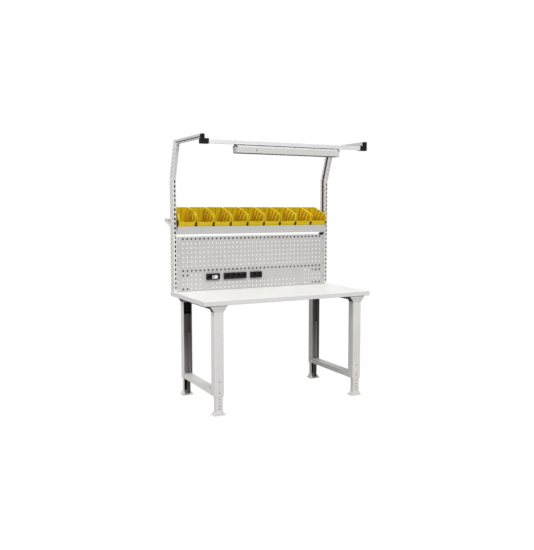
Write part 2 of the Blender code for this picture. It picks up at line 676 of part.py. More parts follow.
def add_beam_sheet(beam, name, middle, low, high, start, stop):
    """Joins a sheet to the beam whose side edges end inside the slanted walls."""
    half_low, half_high = trough_half(low) + BEAM_WALL / 2, trough_half(high) + BEAM_WALL / 2
    loop = [(middle - half_low, low), (middle + half_low, low),
            (middle + half_high, high), (middle - half_high, high)]
    sheet = bpy.data.objects.new(name, outline_mesh(name, [loop], "Y", start, stop))
    CUTTERS.objects.link(sheet)
    boolean(beam, hide_cutter(sheet), 'UNION')


def narrow_beam_waist(beam, side_name, middle):
    """Takes the beam's lower part away between the legs and closes what is left."""
    front, rear = LEG_FRONT_Y + BEAM_BRACKET_LENGTH, LEG_REAR_Y - BEAM_BRACKET_LENGTH
    half = BEAM_TOP_WIDTH / 2
    waist_cut = [((middle - half, front, BEAM_BOTTOM - CUT_OVERRUN),
                  (middle + half, rear, BEAM_WAIST + BEAM_WALL / 2))]
    boolean(beam, box_cutter(f"{side_name}_waist_cut", waist_cut))
    inset = GUSSET_RECESS + BEAM_WALL / 2
    add_beam_sheet(beam, f"{side_name}_waist_sheet", middle, BEAM_WAIST, BEAM_WAIST + BEAM_WALL,
                   front - inset, rear + inset)
    for end_name, start in (("front", front - GUSSET_RECESS - BEAM_WALL),
                            ("rear", rear + GUSSET_RECESS)):
        add_beam_sheet(beam, f"{side_name}_{end_name}_bulkhead", middle,
                       BEAM_BOTTOM + BEAM_WALL / 2, BEAM_WAIST + BEAM_WALL / 2,
                       start, start + BEAM_WALL)


def build_top_beam(side_name, side):
    middle = side * LEG_CENTRE_X
    half_top, half_trough = BEAM_TOP_WIDTH / 2, COLUMN_WIDTH / 2 - BEAM_WALL
    half_mouth, trough = half_top - BEAM_FLANGE, BEAM_BOTTOM + BEAM_WALL
    path = [(middle - half_top, BEAM_TOP), (middle - half_mouth, BEAM_TOP),
            (middle - half_trough, trough), (middle + half_trough, trough),
            (middle + half_mouth, BEAM_TOP), (middle + half_top, BEAM_TOP)]
    beam = add_folded(f"top_beam_{side_name}", path, [along_y(LEG_FRONT_Y), along_y(LEG_REAR_Y)],
                      BEAM_WALL, FRAME_PAINT, material_side=-1)
    narrow_beam_waist(beam, side_name, middle)
    for end_name, start in (("front", LEG_FRONT_Y + GUSSET_RECESS),
                            ("rear", LEG_REAR_Y - GUSSET_RECESS - BEAM_WALL)):
        name = f"{side_name}_{end_name}_gusset"
        gusset = bpy.data.objects.new(name, outline_mesh(name, gusset_loops(middle), "Y",
                                                         start, start + BEAM_WALL))
        CUTTERS.objects.link(gusset)
        boolean(beam, hide_cutter(gusset), 'UNION')


def build_side_rail(side_name, side):
    middle = side * LEG_CENTRE_X
    half = COLUMN_WIDTH / 2 - COLUMN_WALL - FIT_GAP
    low, high = COLUMN_BOTTOM + FIT_GAP, COLUMN_BOTTOM + SIDE_RAIL_HEIGHT
    path = [(middle - half, low), (middle - half, high), (middle + half, high), (middle + half, low)]
    leg_reach = COLUMN_WALL + FIT_GAP + INNER_LEG_DEPTH + CUT_OVERRUN
    front, rear = LEG_FRONT_Y + leg_reach, LEG_REAR_Y - leg_reach
    rail = add_folded(f"side_rail_{side_name}", path, [along_y(front), along_y(rear)],
                      SIDE_RAIL_WALL, FRAME_PAINT, material_side=-1)
    hole_z = COLUMN_BOTTOM + SIDE_RAIL_HOLE_RISE
    reach = half + CUT_OVERRUN
    middle_y = (front + rear) / 2
    holes = []
    for index in range(SIDE_RAIL_HOLE_COUNT):
        y = middle_y + (index - (SIDE_RAIL_HOLE_COUNT - 1) / 2) * SIDE_RAIL_HOLE_PITCH
        holes.append(((middle - reach, y, hole_z), (middle + reach, y, hole_z)))
    boolean(rail, rod_cutter(f"{side_name}_rail_holes", holes, SIDE_RAIL_HOLE_RADIUS, HOLE_SIDES))


def build_leg_bolt(name, side, face_y, opens):
    seat = (side * LEG_CENTRE_X, face_y - opens * FIT_GAP, COLUMN_BOTTOM + COLUMN_BOLT_RISE)
    add_bolt(f"leg_bolt_{name}", seat, (0.0, -opens, 0.0), BOLT_SHANK_RADIUS, COLUMN_WALL,
             BOLT_HEAD_RADIUS, BOLT_HEAD_HEIGHT)


# %% Uprights and panels


def upright_base(height):
    return lambda x, depth: (x, UPRIGHT_FRONT_Y + depth, height)


def upright_bend(x, depth):
    return x, UPRIGHT_FRONT_Y + depth, UPRIGHT_BEND_HEIGHT + depth * math.tan(UPRIGHT_LEAN / 2)


def upright_top(x, depth):
    return (x, UPRIGHT_TOP_FRONT_Y + depth * math.cos(UPRIGHT_LEAN),
            UPRIGHT_TOP_FRONT_Z + depth * math.sin(UPRIGHT_LEAN))


def build_upright(side_name, side):
    inner, outer = side * UPRIGHT_INNER_X, side * UPRIGHT_OUTER_X
    path = [(inner, UPRIGHT_LIP), (inner, 0.0), (outer, 0.0), (outer, UPRIGHT_DEPTH),
            (inner, UPRIGHT_DEPTH), (inner, UPRIGHT_DEPTH - UPRIGHT_LIP)]
    upright = add_folded(f"upright_{side_name}", path,
                         [upright_base(UPRIGHT_BASE), upright_bend, upright_top],
                         UPRIGHT_WALL, FRAME_PAINT, material_side=side)
    low_x, high_x = side_span(side, UPRIGHT_INNER_X + UPRIGHT_WALL / 2,
                              UPRIGHT_OUTER_X - UPRIGHT_WALL / 2)
    sole = [((low_x, UPRIGHT_FRONT_Y + UPRIGHT_WALL / 2, UPRIGHT_BASE + SOLE_RECESS),
             (high_x, UPRIGHT_REAR_Y - UPRIGHT_WALL / 2, UPRIGHT_BASE + SOLE_RECESS + SOLE_SHEET))]
    boolean(upright, box_cutter(f"upright_{side_name}_sole", sole), 'UNION')
    low_x, high_x = side_span(side, UPRIGHT_OUTER_X - SLOT_SIDE_MARGIN - SLOT_WIDTH,
                              UPRIGHT_OUTER_X - SLOT_SIDE_MARGIN)
    slots = []
    for index in range(SLOT_COUNT):
        low_z, high_z = span(UPRIGHT_BEND_HEIGHT - SLOT_TOP_DROP - index * HOLE_PITCH, SLOT_HEIGHT)
        slots.append(((low_x, UPRIGHT_FRONT_Y - CUT_OVERRUN, low_z),
                      (high_x, UPRIGHT_FRONT_Y + UPRIGHT_WALL + CUT_OVERRUN, high_z)))
    boolean(upright, box_cutter(f"upright_{side_name}_slots", slots))
    low_x, high_x = side_span(side, ARM_INNER_X - CUT_OVERRUN, ARM_OUTER_X + FIT_GAP)
    seat = [((low_x, UPRIGHT_TOP_FRONT_Y - CUT_OVERRUN, ARM_BOTTOM - FIT_GAP),
             (high_x, ARM_REAR_Y + FIT_GAP, ARM_TOP))]
    boolean(upright, box_cutter(f"upright_{side_name}_arm_seat", seat))


def hole_centre_x(column):
    return (column - (HOLE_COLUMNS + 1) / 2) * HOLE_PITCH


def hole_centre_z(panel_top, row):
    return panel_top - (row - 0.5) * HOLE_PITCH


def panel_hole_boxes(panel_top, cells):
    boxes = []
    for column, row in cells:
        low_x, high_x = span(hole_centre_x(column), HOLE_SIZE)
        low_z, high_z = span(hole_centre_z(panel_top, row), HOLE_SIZE)
        boxes.append(((low_x, PANEL_FRONT_Y - CUT_OVERRUN, low_z),
                      (high_x, PANEL_FRONT_Y + PANEL_SHEET + CUT_OVERRUN, high_z)))
    return boxes


def margin_slot_boxes(panel_top, rows):
    boxes = []
    for side in SIDES.values():
        low_x, high_x = span(side * (PANEL_HALF_WIDTH - MARGIN_SLOT_INSET), MARGIN_SLOT_WIDTH)
        for row in rows:
            low_z, high_z = span(hole_centre_z(panel_top, row), MARGIN_SLOT_HEIGHT)
            boxes.append(((low_x, PANEL_FRONT_Y - CUT_OVERRUN, low_z),
                          (high_x, PANEL_FRONT_Y + PANEL_SHEET + CUT_OVERRUN, high_z)))
    return boxes


def build_upper_panel():
    front, back = PANEL_FRONT_Y, PANEL_FRONT_Y + PANEL_FLANGE
    low, high = UPPER_PANEL_BOTTOM, UPPER_PANEL_TOP
    path = [(back, low + PANEL_RETURN), (back, low), (front, low), (front, high), (back, high),
            (back, high - PANEL_RETURN)]
    panel = add_folded("upper_panel", path,
                       [along_x(-PANEL_HALF_WIDTH), along_x(PANEL_HALF_WIDTH)],
                       PANEL_SHEET, PANEL_PAINT, material_side=-1)
    cells = [(column, row) for column in range(1, HOLE_COLUMNS + 1)
             for row in range(1, UPPER_ROWS + 1)]
    boxes = panel_hole_boxes(high, cells) + margin_slot_boxes(high, UPPER_MARGIN_ROWS)
    boolean(panel, box_cutter("upper_panel_holes", boxes))


def strip_places():
    return {"switch": (SWITCH_CENTRE_X, SWITCH_WIDTH),
            "four_sockets": (FOUR_SOCKET_CENTRE_X, FOUR_SOCKET_WIDTH),
            "two_sockets": (TWO_SOCKET_CENTRE_X, TWO_SOCKET_WIDTH)}


def lower_panel_cells():
    columns, ends = range(1, HOLE_COLUMNS + 1), LOWER_END_COLUMNS
    skipped = ends + LOWER_PLAIN_COLUMNS
    cells = [(column, row) for column in (*columns[:ends], *columns[-ends:])
             for row in range(1, LOWER_ROWS + 1)]
    cells += [(column, row) for column in columns[skipped:-skipped]
              for row in range(LOWER_ROWS - LOWER_LOW_ROWS + 1, LOWER_ROWS + 1)]
    return cells


def build_lower_panel():
    front, back = PANEL_FRONT_Y, PANEL_FRONT_Y + LOWER_PANEL_FLANGE
    low, high = LOWER_PANEL_BOTTOM, LOWER_PANEL_TOP
    path = [(back, low), (front, low), (front, high), (back, high)]
    panel = add_folded("lower_panel", path,
                       [along_x(-PANEL_HALF_WIDTH), along_x(PANEL_HALF_WIDTH)],
                       PANEL_SHEET, PANEL_PAINT, material_side=-1)
    boxes = panel_hole_boxes(high, lower_panel_cells()) + margin_slot_boxes(high, LOWER_MARGIN_ROWS)
    for centre_x, width in strip_places().values():
        low_x, high_x = span(centre_x, width - 2 * STRIP_LIP + 2 * FIT_GAP)
        low_z, high_z = span(STRIP_CENTRE_Z, STRIP_HEIGHT - 2 * STRIP_LIP + 2 * FIT_GAP)
        boxes.append(((low_x, front - CUT_OVERRUN, low_z),
                      (high_x, front + PANEL_SHEET + CUT_OVERRUN, high_z)))
    boolean(panel, box_cutter("lower_panel_holes", boxes))


def build_panel_bracket(side_name, side):
    """C-shaped bracket behind each end of the lower panel, with a flange that meets it."""
    outer, inner = side * PANEL_HALF_WIDTH, side * (PANEL_HALF_WIDTH - PANEL_BRACKET_WIDTH)
    neck = side * (PANEL_HALF_WIDTH - PANEL_BRACKET_ARM / 2)
    low = LOWER_PANEL_BOTTOM + PANEL_SHEET + FIT_GAP
    high = LOWER_PANEL_TOP - PANEL_SHEET - FIT_GAP
    outline = [(outer, low), (inner, low), (inner, low + PANEL_BRACKET_ARM),
               (neck, low + PANEL_BRACKET_ARM), (neck, high - PANEL_BRACKET_ARM),
               (inner, high - PANEL_BRACKET_ARM), (inner, high), (outer, high)]
    back = PANEL_FRONT_Y + PANEL_SHEET + FIT_GAP + LOWER_PANEL_FLANGE
    bracket = add_outline(f"panel_bracket_{side_name}", [outline], "Y",
                          back - PANEL_BRACKET_SHEET, back, BLACK_PLASTIC)
    low_x, high_x = side_span(side, PANEL_HALF_WIDTH - PANEL_BRACKET_SHEET, PANEL_HALF_WIDTH)
    flange = box_cutter(f"{side_name}_bracket_flange",
                        [((low_x, PANEL_FRONT_Y + PANEL_SHEET + FIT_GAP, low),
                          (high_x, back - PANEL_BRACKET_SHEET / 2, high))])
    boolean(bracket, flange, 'UNION')


# %% Power strips


def strip_front_y():
    return PANEL_FRONT_Y - STRIP_PROUD


def build_strip_body(name, centre_x, width):
    """Bezel in front of the panel with a narrower back box through the panel's cut-out."""
    low_x, high_x = span(centre_x, width)
    low_z, high_z = span(STRIP_CENTRE_Z, STRIP_HEIGHT)
    body = add_box(name, (low_x, strip_front_y(), low_z),
                   (high_x, PANEL_FRONT_Y - FIT_GAP, high_z), BLACK_PLASTIC)
    low_x, high_x = span(centre_x, width - 2 * STRIP_LIP)
    low_z, high_z = span(STRIP_CENTRE_Z, STRIP_HEIGHT - 2 * STRIP_LIP)
    back = box_cutter(f"{name}_back_box", [((low_x, PANEL_FRONT_Y - STRIP_PROUD / 2, low_z),
                                            (high_x, PANEL_FRONT_Y + STRIP_BACK_DEPTH, high_z))])
    boolean(body, back, 'UNION')
    return body


def build_socket_strip(name, centre_x, width, count):
    body = build_strip_body(name, centre_x, width)
    front = strip_front_y()
    recesses, pins = [], []
    for index in range(count):
        x = centre_x + (index - (count - 1) / 2) * SOCKET_PITCH
        recesses.append(((x, front - CUT_OVERRUN, STRIP_CENTRE_Z),
                         (x, front + SOCKET_RECESS, STRIP_CENTRE_Z)))
        for way in (-1, 1):
            pin_x = x + way * PIN_HOLE_SPACING / 2 * math.cos(PIN_HOLE_TURN)
            pin_z = STRIP_CENTRE_Z + way * PIN_HOLE_SPACING / 2 * math.sin(PIN_HOLE_TURN)
            pins.append(((pin_x, front + SOCKET_RECESS - CUT_OVERRUN, pin_z),
                         (pin_x, front + SOCKET_RECESS + PIN_HOLE_DEPTH, pin_z)))
    boolean(body, rod_cutter(f"{name}_recesses", recesses, SOCKET_RADIUS, ROUND_SIDES))
    boolean(body, rod_cutter(f"{name}_pin_holes", pins, PIN_HOLE_RADIUS, HOLE_SIDES))


def switch_plate_frame():
    plate_x = SWITCH_CENTRE_X + SWITCH_PLATE_SHIFT
    front = strip_front_y() - SWITCH_PLATE_PROUD
    return plate_x, front


def build_switch_module():
    housing = build_strip_body("switch_housing", SWITCH_CENTRE_X, SWITCH_WIDTH)
    plate_x, plate_front = switch_plate_frame()
    plate_back = plate_front + SWITCH_PLATE_THICKNESS
    low_x, high_x = span(plate_x, SWITCH_PLATE_WIDTH + 2 * FIT_GAP)
    low_z, high_z = span(STRIP_CENTRE_Z, SWITCH_PLATE_HEIGHT + 2 * FIT_GAP)
    well_back = plate_back + ROCKER_DEPTH
    wells = [((low_x, strip_front_y() - CUT_OVERRUN, low_z), (high_x, plate_back + FIT_GAP, high_z))]
    inlet_x = SWITCH_CENTRE_X + INLET_SHIFT
    low_x, high_x = span(inlet_x, INLET_WIDTH)
    low_z, high_z = span(STRIP_CENTRE_Z, INLET_HEIGHT)
    wells.append(((low_x, strip_front_y() - CUT_OVERRUN, low_z),
                  (high_x, strip_front_y() + INLET_DEPTH, high_z)))
    boolean(housing, box_cutter("switch_wells", wells))
    rocker_x = plate_x + ROCKER_SHIFT
    low_x, high_x = span(rocker_x, ROCKER_WIDTH + 2 * FIT_GAP)
    low_z, high_z = span(STRIP_CENTRE_Z, ROCKER_HEIGHT + 2 * ROCKER_CLEARANCE)
    boolean(housing, box_cutter("rocker_well", [((low_x, plate_front, low_z),
                                                 (high_x, well_back, high_z))]))
    pins = []
    for index in (-1, 0, 1):
        low_px, high_px = span(inlet_x + index * INLET_PIN_SPACING, INLET_PIN_WIDTH)
        low_pz, high_pz = span(STRIP_CENTRE_Z, INLET_PIN_HEIGHT)
        root = strip_front_y() + INLET_DEPTH
        pins.append(((low_px, root - INLET_PIN_LENGTH, low_pz), (high_px, root + CUT_OVERRUN, high_pz)))
    boolean(housing, box_cutter("inlet_pins", pins), 'UNION')
    low_px, high_px = span(plate_x, SWITCH_PLATE_WIDTH)
    low_pz, high_pz = span(STRIP_CENTRE_Z, SWITCH_PLATE_HEIGHT)
    plate = add_box("switch_plate", (low_px, plate_front, low_pz), (high_px, plate_back, high_pz),
                    WHITE_PLASTIC)
    boolean(plate, box_cutter("rocker_window", [((low_x, plate_front - CUT_OVERRUN, low_z),
                                                 (high_x, plate_back + CUT_OVERRUN, high_z))]))
    axis_y = plate_front + ROCKER_DEPTH - ROCKER_PROUD
    face_y = plate_front - ROCKER_PROUD
    half = ROCKER_HEIGHT / 2
    back_y = axis_y + ROCKER_PROUD
    outline = [(face_y - ROCKER_PROUD / 2, STRIP_CENTRE_Z + half),
               (face_y + ROCKER_PROUD / 2, STRIP_CENTRE_Z),
               (face_y - ROCKER_PROUD / 2, STRIP_CENTRE_Z - half),
               (back_y, STRIP_CENTRE_Z - half / 2), (back_y, STRIP_CENTRE_Z + half / 2)]
    low_rx, high_rx = span(rocker_x, ROCKER_WIDTH)
    add_outline("switch_rocker", [outline], "X", low_rx, high_rx, BLACK_PLASTIC,
                origin=(rocker_x, axis_y, STRIP_CENTRE_Z))


# %% Shelf and bins

SHELF = new_empty("shelf_pivot", (0.0, PIVOT_Y, PIVOT_Z), BENCH, SHELF_TILT)


def shelf_y(from_lip):
    """Local Y on the tilted shelf of a distance behind its lip."""
    return from_lip - PIVOT_FROM_LIP


def shelf_z(rise):
    """Local Z on the tilted shelf of a rise over its reference plane."""
    return rise + PIVOT_DROP


def build_shelf_tray():
    path = [(0.0, LIP_RISE), (0.0, -LIP_DROP), (LIP_FOLD, -LIP_DROP), (LIP_FOLD, PLATE_RISE),
            (SHELF_DEPTH, PLATE_RISE), (SHELF_DEPTH, -FLANGE_DROP)]
    path = [(shelf_y(depth), shelf_z(rise)) for depth, rise in path]
    tray = add_folded("shelf_tray", path, [along_x(-TRAY_HALF_WIDTH), along_x(TRAY_HALF_WIDTH)],
                      SHELF_SHEET, FRAME_PAINT, material_side=1, parent=SHELF)
    flanges = []
    for side in SIDES.values():
        low_x, high_x = side_span(side, TRAY_HALF_WIDTH - SHELF_SHEET, TRAY_HALF_WIDTH)
        flanges.append(((low_x, shelf_y(LIP_FOLD - SHELF_SHEET / 2), shelf_z(-FLANGE_DROP)),
                        (high_x, shelf_y(SHELF_DEPTH + SHELF_SHEET / 2),
                         shelf_z(PLATE_RISE + SHELF_SHEET / 2))))
    boolean(tray, box_cutter("tray_side_flanges", flanges, SHELF), 'UNION')
    rods = []
    for side in SIDES.values():
        start = side * (TRAY_HALF_WIDTH - SHELF_SHEET - CUT_OVERRUN)
        stop = side * (TRAY_HALF_WIDTH + CUT_OVERRUN)
        rods.append(((start, 0.0, 0.0), (stop, 0.0, 0.0)))
        rods.append(((start, -LOCK_RADIUS, 0.0), (stop, -LOCK_RADIUS, 0.0)))
    boolean(tray, rod_cutter("tray_bolt_holes", rods, SCREW_HOLE_RADIUS, BOLT_SIDES, SHELF))


def arc_slot(centre_y, centre_z, radius, half_width, start_angle, stop_angle, steps):
    outer, inner = [], []
    for index in range(steps + 1):
        angle = start_angle + (stop_angle - start_angle) * index / steps
        for points, reach in ((outer, radius + half_width), (inner, radius - half_width)):
            points.append((centre_y + reach * math.cos(angle), centre_z + reach * math.sin(angle)))
    return outer + inner[::-1]


def build_shelf_bracket(side_name, side):
    low_y, high_y = span(UPRIGHT_FRONT_Y + UPRIGHT_DEPTH / 2, BRACKET_DEPTH)
    low_z, high_z = span(PIVOT_Z, BRACKET_HEIGHT)
    outline = [(low_y, low_z), (high_y, low_z), (high_y, high_z), (low_y, high_z)]
    spare = LOCK_SLOT_HALF_WIDTH / LOCK_RADIUS
    slot = arc_slot(PIVOT_Y, PIVOT_Z, LOCK_RADIUS, LOCK_SLOT_HALF_WIDTH,
                    math.pi - spare, math.pi + SHELF_TILT + spare, ARC_STEPS)
    outer_face = UPRIGHT_INNER_X - FIT_GAP
    low_x, high_x = side_span(side, outer_face - BRACKET_SHEET, outer_face)
    bracket = add_outline(f"shelf_bracket_{side_name}", [outline, slot], "X", low_x, high_x, FRAME_PAINT)
    low_y, high_y = span(UPRIGHT_FRONT_Y + UPRIGHT_DEPTH / 2, BRACKET_TAB_DEPTH)
    low_x, high_x = side_span(side, outer_face - BRACKET_SHEET / 2, outer_face + BRACKET_TAB_REACH)
    tab_top = low_z + BRACKET_SHEET
    tab = box_cutter(f"{side_name}_bracket_tab", [((low_x, low_y, low_z),
                                                   (high_x, high_y, tab_top))])
    boolean(bracket, tab, 'UNION')
    rods = [((side * (outer_face - BRACKET_SHEET - CUT_OVERRUN), PIVOT_Y, PIVOT_Z),
             (side * (outer_face + CUT_OVERRUN), PIVOT_Y, PIVOT_Z))]
    boolean(bracket, rod_cutter(f"{side_name}_bracket_pivot_hole", rods, SCREW_HOLE_RADIUS, BOLT_SIDES))


def build_shelf_bolt(side_name, side):
    """Pivot bolt from inside the tray through its side flange and the bracket."""
    seat = (side * (TRAY_HALF_WIDTH - SHELF_SHEET - FIT_GAP), PIVOT_Y, PIVOT_Z)
    add_bolt(f"shelf_pivot_bolt_{side_name}", seat, (-side, 0.0, 0.0), SCREW_SHANK_RADIUS,
             SHELF_SHEET + SHELF_SIDE_GAP, SCREW_HEAD_RADIUS, SCREW_HEAD_HEIGHT)


def bin_side_outline():
    """Side view of a bin: flat floor, full back, top edge that rounds down to the front."""
    points = [(0.0, 0.0), (BIN_DEPTH, 0.0), (BIN_DEPTH, BIN_HEIGHT)]
    for index in range(ARC_STEPS + 1):
        angle = math.pi / 2 * (1 + index / ARC_STEPS)
        points.append((BIN_CORNER_RADIUS * (1 + math.cos(angle)),
                       BIN_HEIGHT - BIN_CORNER_RADIUS * (1 - math.sin(angle))))
    return points


def build_bins():
    front = LIP_FOLD + BIN_SETBACK
    for index in range(BIN_COUNT):
        name = f"bin_{index + 1}"
        middle = (index - (BIN_COUNT - 1) / 2) * BIN_PITCH
        low_x, high_x = span(middle, BIN_WIDTH)
        seat_y, seat_z = shelf_y(front), shelf_z(TRAY_TOP + FIT_GAP)
        outline = [(seat_y + depth, seat_z + height) for depth, height in bin_side_outline()]
        origin = (middle, seat_y + BIN_DEPTH / 2, seat_z)
        body = add_outline(name, [outline], "X", low_x, high_x, BIN_PLASTIC, origin, SHELF)
        inner_low, inner_high = low_x + BIN_WALL, high_x - BIN_WALL
        above = seat_z + BIN_HEIGHT + CUT_OVERRUN
        hollow = [((inner_low, seat_y + BIN_WALL, seat_z + BIN_WALL),
                   (inner_high, seat_y + BIN_DEPTH - BIN_WALL, above))]
        mouth = [((inner_low, seat_y - CUT_OVERRUN, seat_z + BIN_FRONT_HEIGHT),
                  (inner_high, seat_y + 2 * BIN_WALL, above))]
        boolean(body, box_cutter(f"{name}_hollow", hollow, SHELF))
        boolean(body, box_cutter(f"{name}_mouth", mouth, SHELF))


# %% Arms, cross rail and lamp


def arm_outline(side):
    """Extrusion with one groove in its outer side and one underneath."""
    outer, inner = side * ARM_OUTER_X, side * ARM_INNER_X
    middle = side * ARM_MIDDLE_X
    half = ARM_GROOVE_WIDTH / 2
    groove_floor = side * (ARM_OUTER_X - ARM_GROOVE_DEPTH)
    groove_low, groove_high = span(ARM_BOTTOM + ARM_GROOVE_RISE, ARM_GROOVE_WIDTH)
    return [(outer, ARM_BOTTOM), (outer, groove_low), (groove_floor, groove_low),
            (groove_floor, groove_high), (outer, groove_high), (outer, ARM_TOP),
            (inner, ARM_TOP), (inner, ARM_BOTTOM), (middle - side * half, ARM_BOTTOM),
            (middle - side * half, ARM_BOTTOM + ARM_GROOVE_DEPTH),
            (middle + side * half, ARM_BOTTOM + ARM_GROOVE_DEPTH), (middle + side * half, ARM_BOTTOM)]


def build_arm(side_name, side):
    add_outline(f"arm_{side_name}", [arm_outline(side)], "Y", ARM_FRONT_Y, ARM_REAR_Y, ALUMINIUM)
    low_x, high_x = side_span(side, ARM_INNER_X, ARM_OUTER_X)
    add_box(f"arm_cap_{side_name}", (low_x, ARM_FRONT_Y - FIT_GAP - ARM_CAP_LENGTH, ARM_BOTTOM),
            (high_x, ARM_FRONT_Y - FIT_GAP, ARM_TOP), BLACK_PLASTIC, ARM_CAP_BEVEL)


def build_rail_clamp(side_name, side):
    low_x, high_x = side_span(side, CLAMP_INNER_X, CLAMP_OUTER_X)
    origin = (side * ARM_MIDDLE_X, RAIL_MIDDLE_Y, CLAMP_TOP)
    clamp = add_box(f"rail_clamp_{side_name}", (low_x, CLAMP_FRONT_Y, CLAMP_BOTTOM),
                    (high_x, CLAMP_FRONT_Y + CLAMP_DEPTH, CLAMP_TOP), BLACK_PLASTIC,
                    CLAMP_BEVEL, origin)
    half = ARM_GROOVE_WIDTH / 2 - CLAMP_STEM_CLEARANCE
    stem_x = span(side * ARM_MIDDLE_X, 2 * half)
    rear = CLAMP_FRONT_Y + CLAMP_DEPTH
    stem = box_cutter(f"{side_name}_clamp_stem",
                      [((stem_x[0], rear - CLAMP_BEVEL - CLAMP_STEM_LENGTH, CLAMP_TOP - CLAMP_BEVEL),
                        (stem_x[1], rear - CLAMP_BEVEL,
                         ARM_BOTTOM + ARM_GROOVE_DEPTH - CLAMP_STEM_CLEARANCE))])
    boolean(clamp, stem, 'UNION')


def build_cross_rail():
    half_y, half_z = RAIL_WIDTH / 2, RAIL_HEIGHT / 2
    groove, depth = RAIL_GROOVE_WIDTH / 2, RAIL_GROOVE_DEPTH
    y0, z0 = RAIL_MIDDLE_Y, RAIL_MIDDLE_Z
    outline = [(y0 - half_y, z0 - half_z), (y0 - groove, z0 - half_z),
               (y0 - groove, z0 - half_z + depth), (y0 + groove, z0 - half_z + depth),
               (y0 + groove, z0 - half_z), (y0 + half_y, z0 - half_z), (y0 + half_y, z0 + half_z),
               (y0 - half_y, z0 + half_z), (y0 - half_y, z0 + groove),
               (y0 - half_y + depth, z0 + groove), (y0 - half_y + depth, z0 - groove),
               (y0 - half_y, z0 - groove)]
    rail = add_outline("cross_rail", [outline], "X", -RAIL_HALF_LENGTH, RAIL_HALF_LENGTH, ALUMINIUM,
                       origin=(0.0, y0, z0))
    collars = []
    for side in SIDES.values():
        low_x, high_x = side_span(side, RAIL_HALF_LENGTH - COLLAR_LENGTH, RAIL_HALF_LENGTH)
        low_y, high_y = span(y0, RAIL_WIDTH + 2 * COLLAR_OVERSIZE)
        low_z, high_z = span(z0, RAIL_HEIGHT + 2 * COLLAR_OVERSIZE)
        collars.append(((low_x, low_y, low_z), (high_x, high_y, high_z)))
    boolean(rail, box_cutter("rail_collars", collars), 'UNION')


def lamp_outline(inset=0.0):
    """Pentagonal end view: narrow foot, upright sides, roof with a flat ridge."""
    base, width = LAMP_BASE_WIDTH / 2 - inset, LAMP_WIDTH / 2 - inset
    ridge = LAMP_RIDGE_WIDTH / 2
    return [(RAIL_MIDDLE_Y - base, LAMP_BOTTOM), (RAIL_MIDDLE_Y - width, LAMP_BOTTOM + LAMP_EAVE_HEIGHT),
            (RAIL_MIDDLE_Y - ridge, LAMP_TOP - inset), (RAIL_MIDDLE_Y + ridge, LAMP_TOP - inset),
            (RAIL_MIDDLE_Y + width, LAMP_BOTTOM + LAMP_EAVE_HEIGHT), (RAIL_MIDDLE_Y + base, LAMP_BOTTOM)]


def build_lamp():
    half = LAMP_LENGTH / 2
    origin = (0.0, RAIL_MIDDLE_Y, LAMP_TOP)
    add_folded("lamp_housing", lamp_outline(),
               [along_x(LAMP_END_CAP + FIT_GAP - half), along_x(half - LAMP_END_CAP - FIT_GAP)],
               LAMP_SHEET, LAMP_PAINT, material_side=-1, origin=origin)
    low_y, high_y = span(RAIL_MIDDLE_Y, LAMP_BASE_WIDTH - 2 * LAMP_SHEET - 4 * FIT_GAP)
    inner_half = half - LAMP_END_CAP - FIT_GAP
    add_box("lamp_diffuser", (-inner_half, low_y, LAMP_BOTTOM),
            (inner_half, high_y, LAMP_BOTTOM + DIFFUSER_THICKNESS), DIFFUSER_PLASTIC, origin=origin)
    for side_name, side in SIDES.items():
        low_x, high_x = side_span(side, half - LAMP_END_CAP, half)
        add_outline(f"lamp_end_cap_{side_name}", [lamp_outline()], "X", low_x, high_x, LAMP_PAINT, origin)


def build_lamp_hanger(side_name, side):
    """Black saddle between the lamp's ridge and the rail, with a stem in its lower groove."""
    half_groove = RAIL_GROOVE_WIDTH / 2 - HANGER_CLEARANCE
    half_foot = LAMP_RIDGE_WIDTH / 2
    low, high = LAMP_TOP + FIT_GAP, RAIL_BOTTOM - FIT_GAP
    top = RAIL_BOTTOM + RAIL_GROOVE_DEPTH - HANGER_CLEARANCE
    y0 = RAIL_MIDDLE_Y
    outline = [(y0 - half_foot, low), (y0 + half_foot, low), (y0 + half_foot, high),
               (y0 + half_groove, high), (y0 + half_groove, top), (y0 - half_groove, top),
               (y0 - half_groove, high), (y0 - half_foot, high)]
    outer = LAMP_LENGTH / 2 - HANGER_INSET
    low_x, high_x = side_span(side, outer - HANGER_LENGTH, outer)
    add_outline(f"lamp_hanger_{side_name}", [outline], "X", low_x, high_x, BLACK_PLASTIC,
                (0.0, RAIL_MIDDLE_Y, LAMP_TOP))


def build_cord_clip():
    """Black spring clip on the upper panel's top edge."""
    middle = PANEL_HALF_WIDTH - CLIP_INSET_X
    low_x, high_x = span(middle, CLIP_WIDTH)
    low = UPPER_PANEL_TOP + FIT_GAP
    front = PANEL_FRONT_Y - FIT_GAP
    outline = [(front, low - CLIP_HEIGHT / 2), (front, low), (front + CLIP_DEPTH, low),
               (front + CLIP_DEPTH, low + CLIP_HEIGHT), (front - CLIP_SHEET, low + CLIP_HEIGHT),
               (front - CLIP_SHEET, low - CLIP_HEIGHT / 2)]
    add_outline("cord_clip", [outline], "X", low_x, high_x, BLACK_PLASTIC)


# %% Assembly


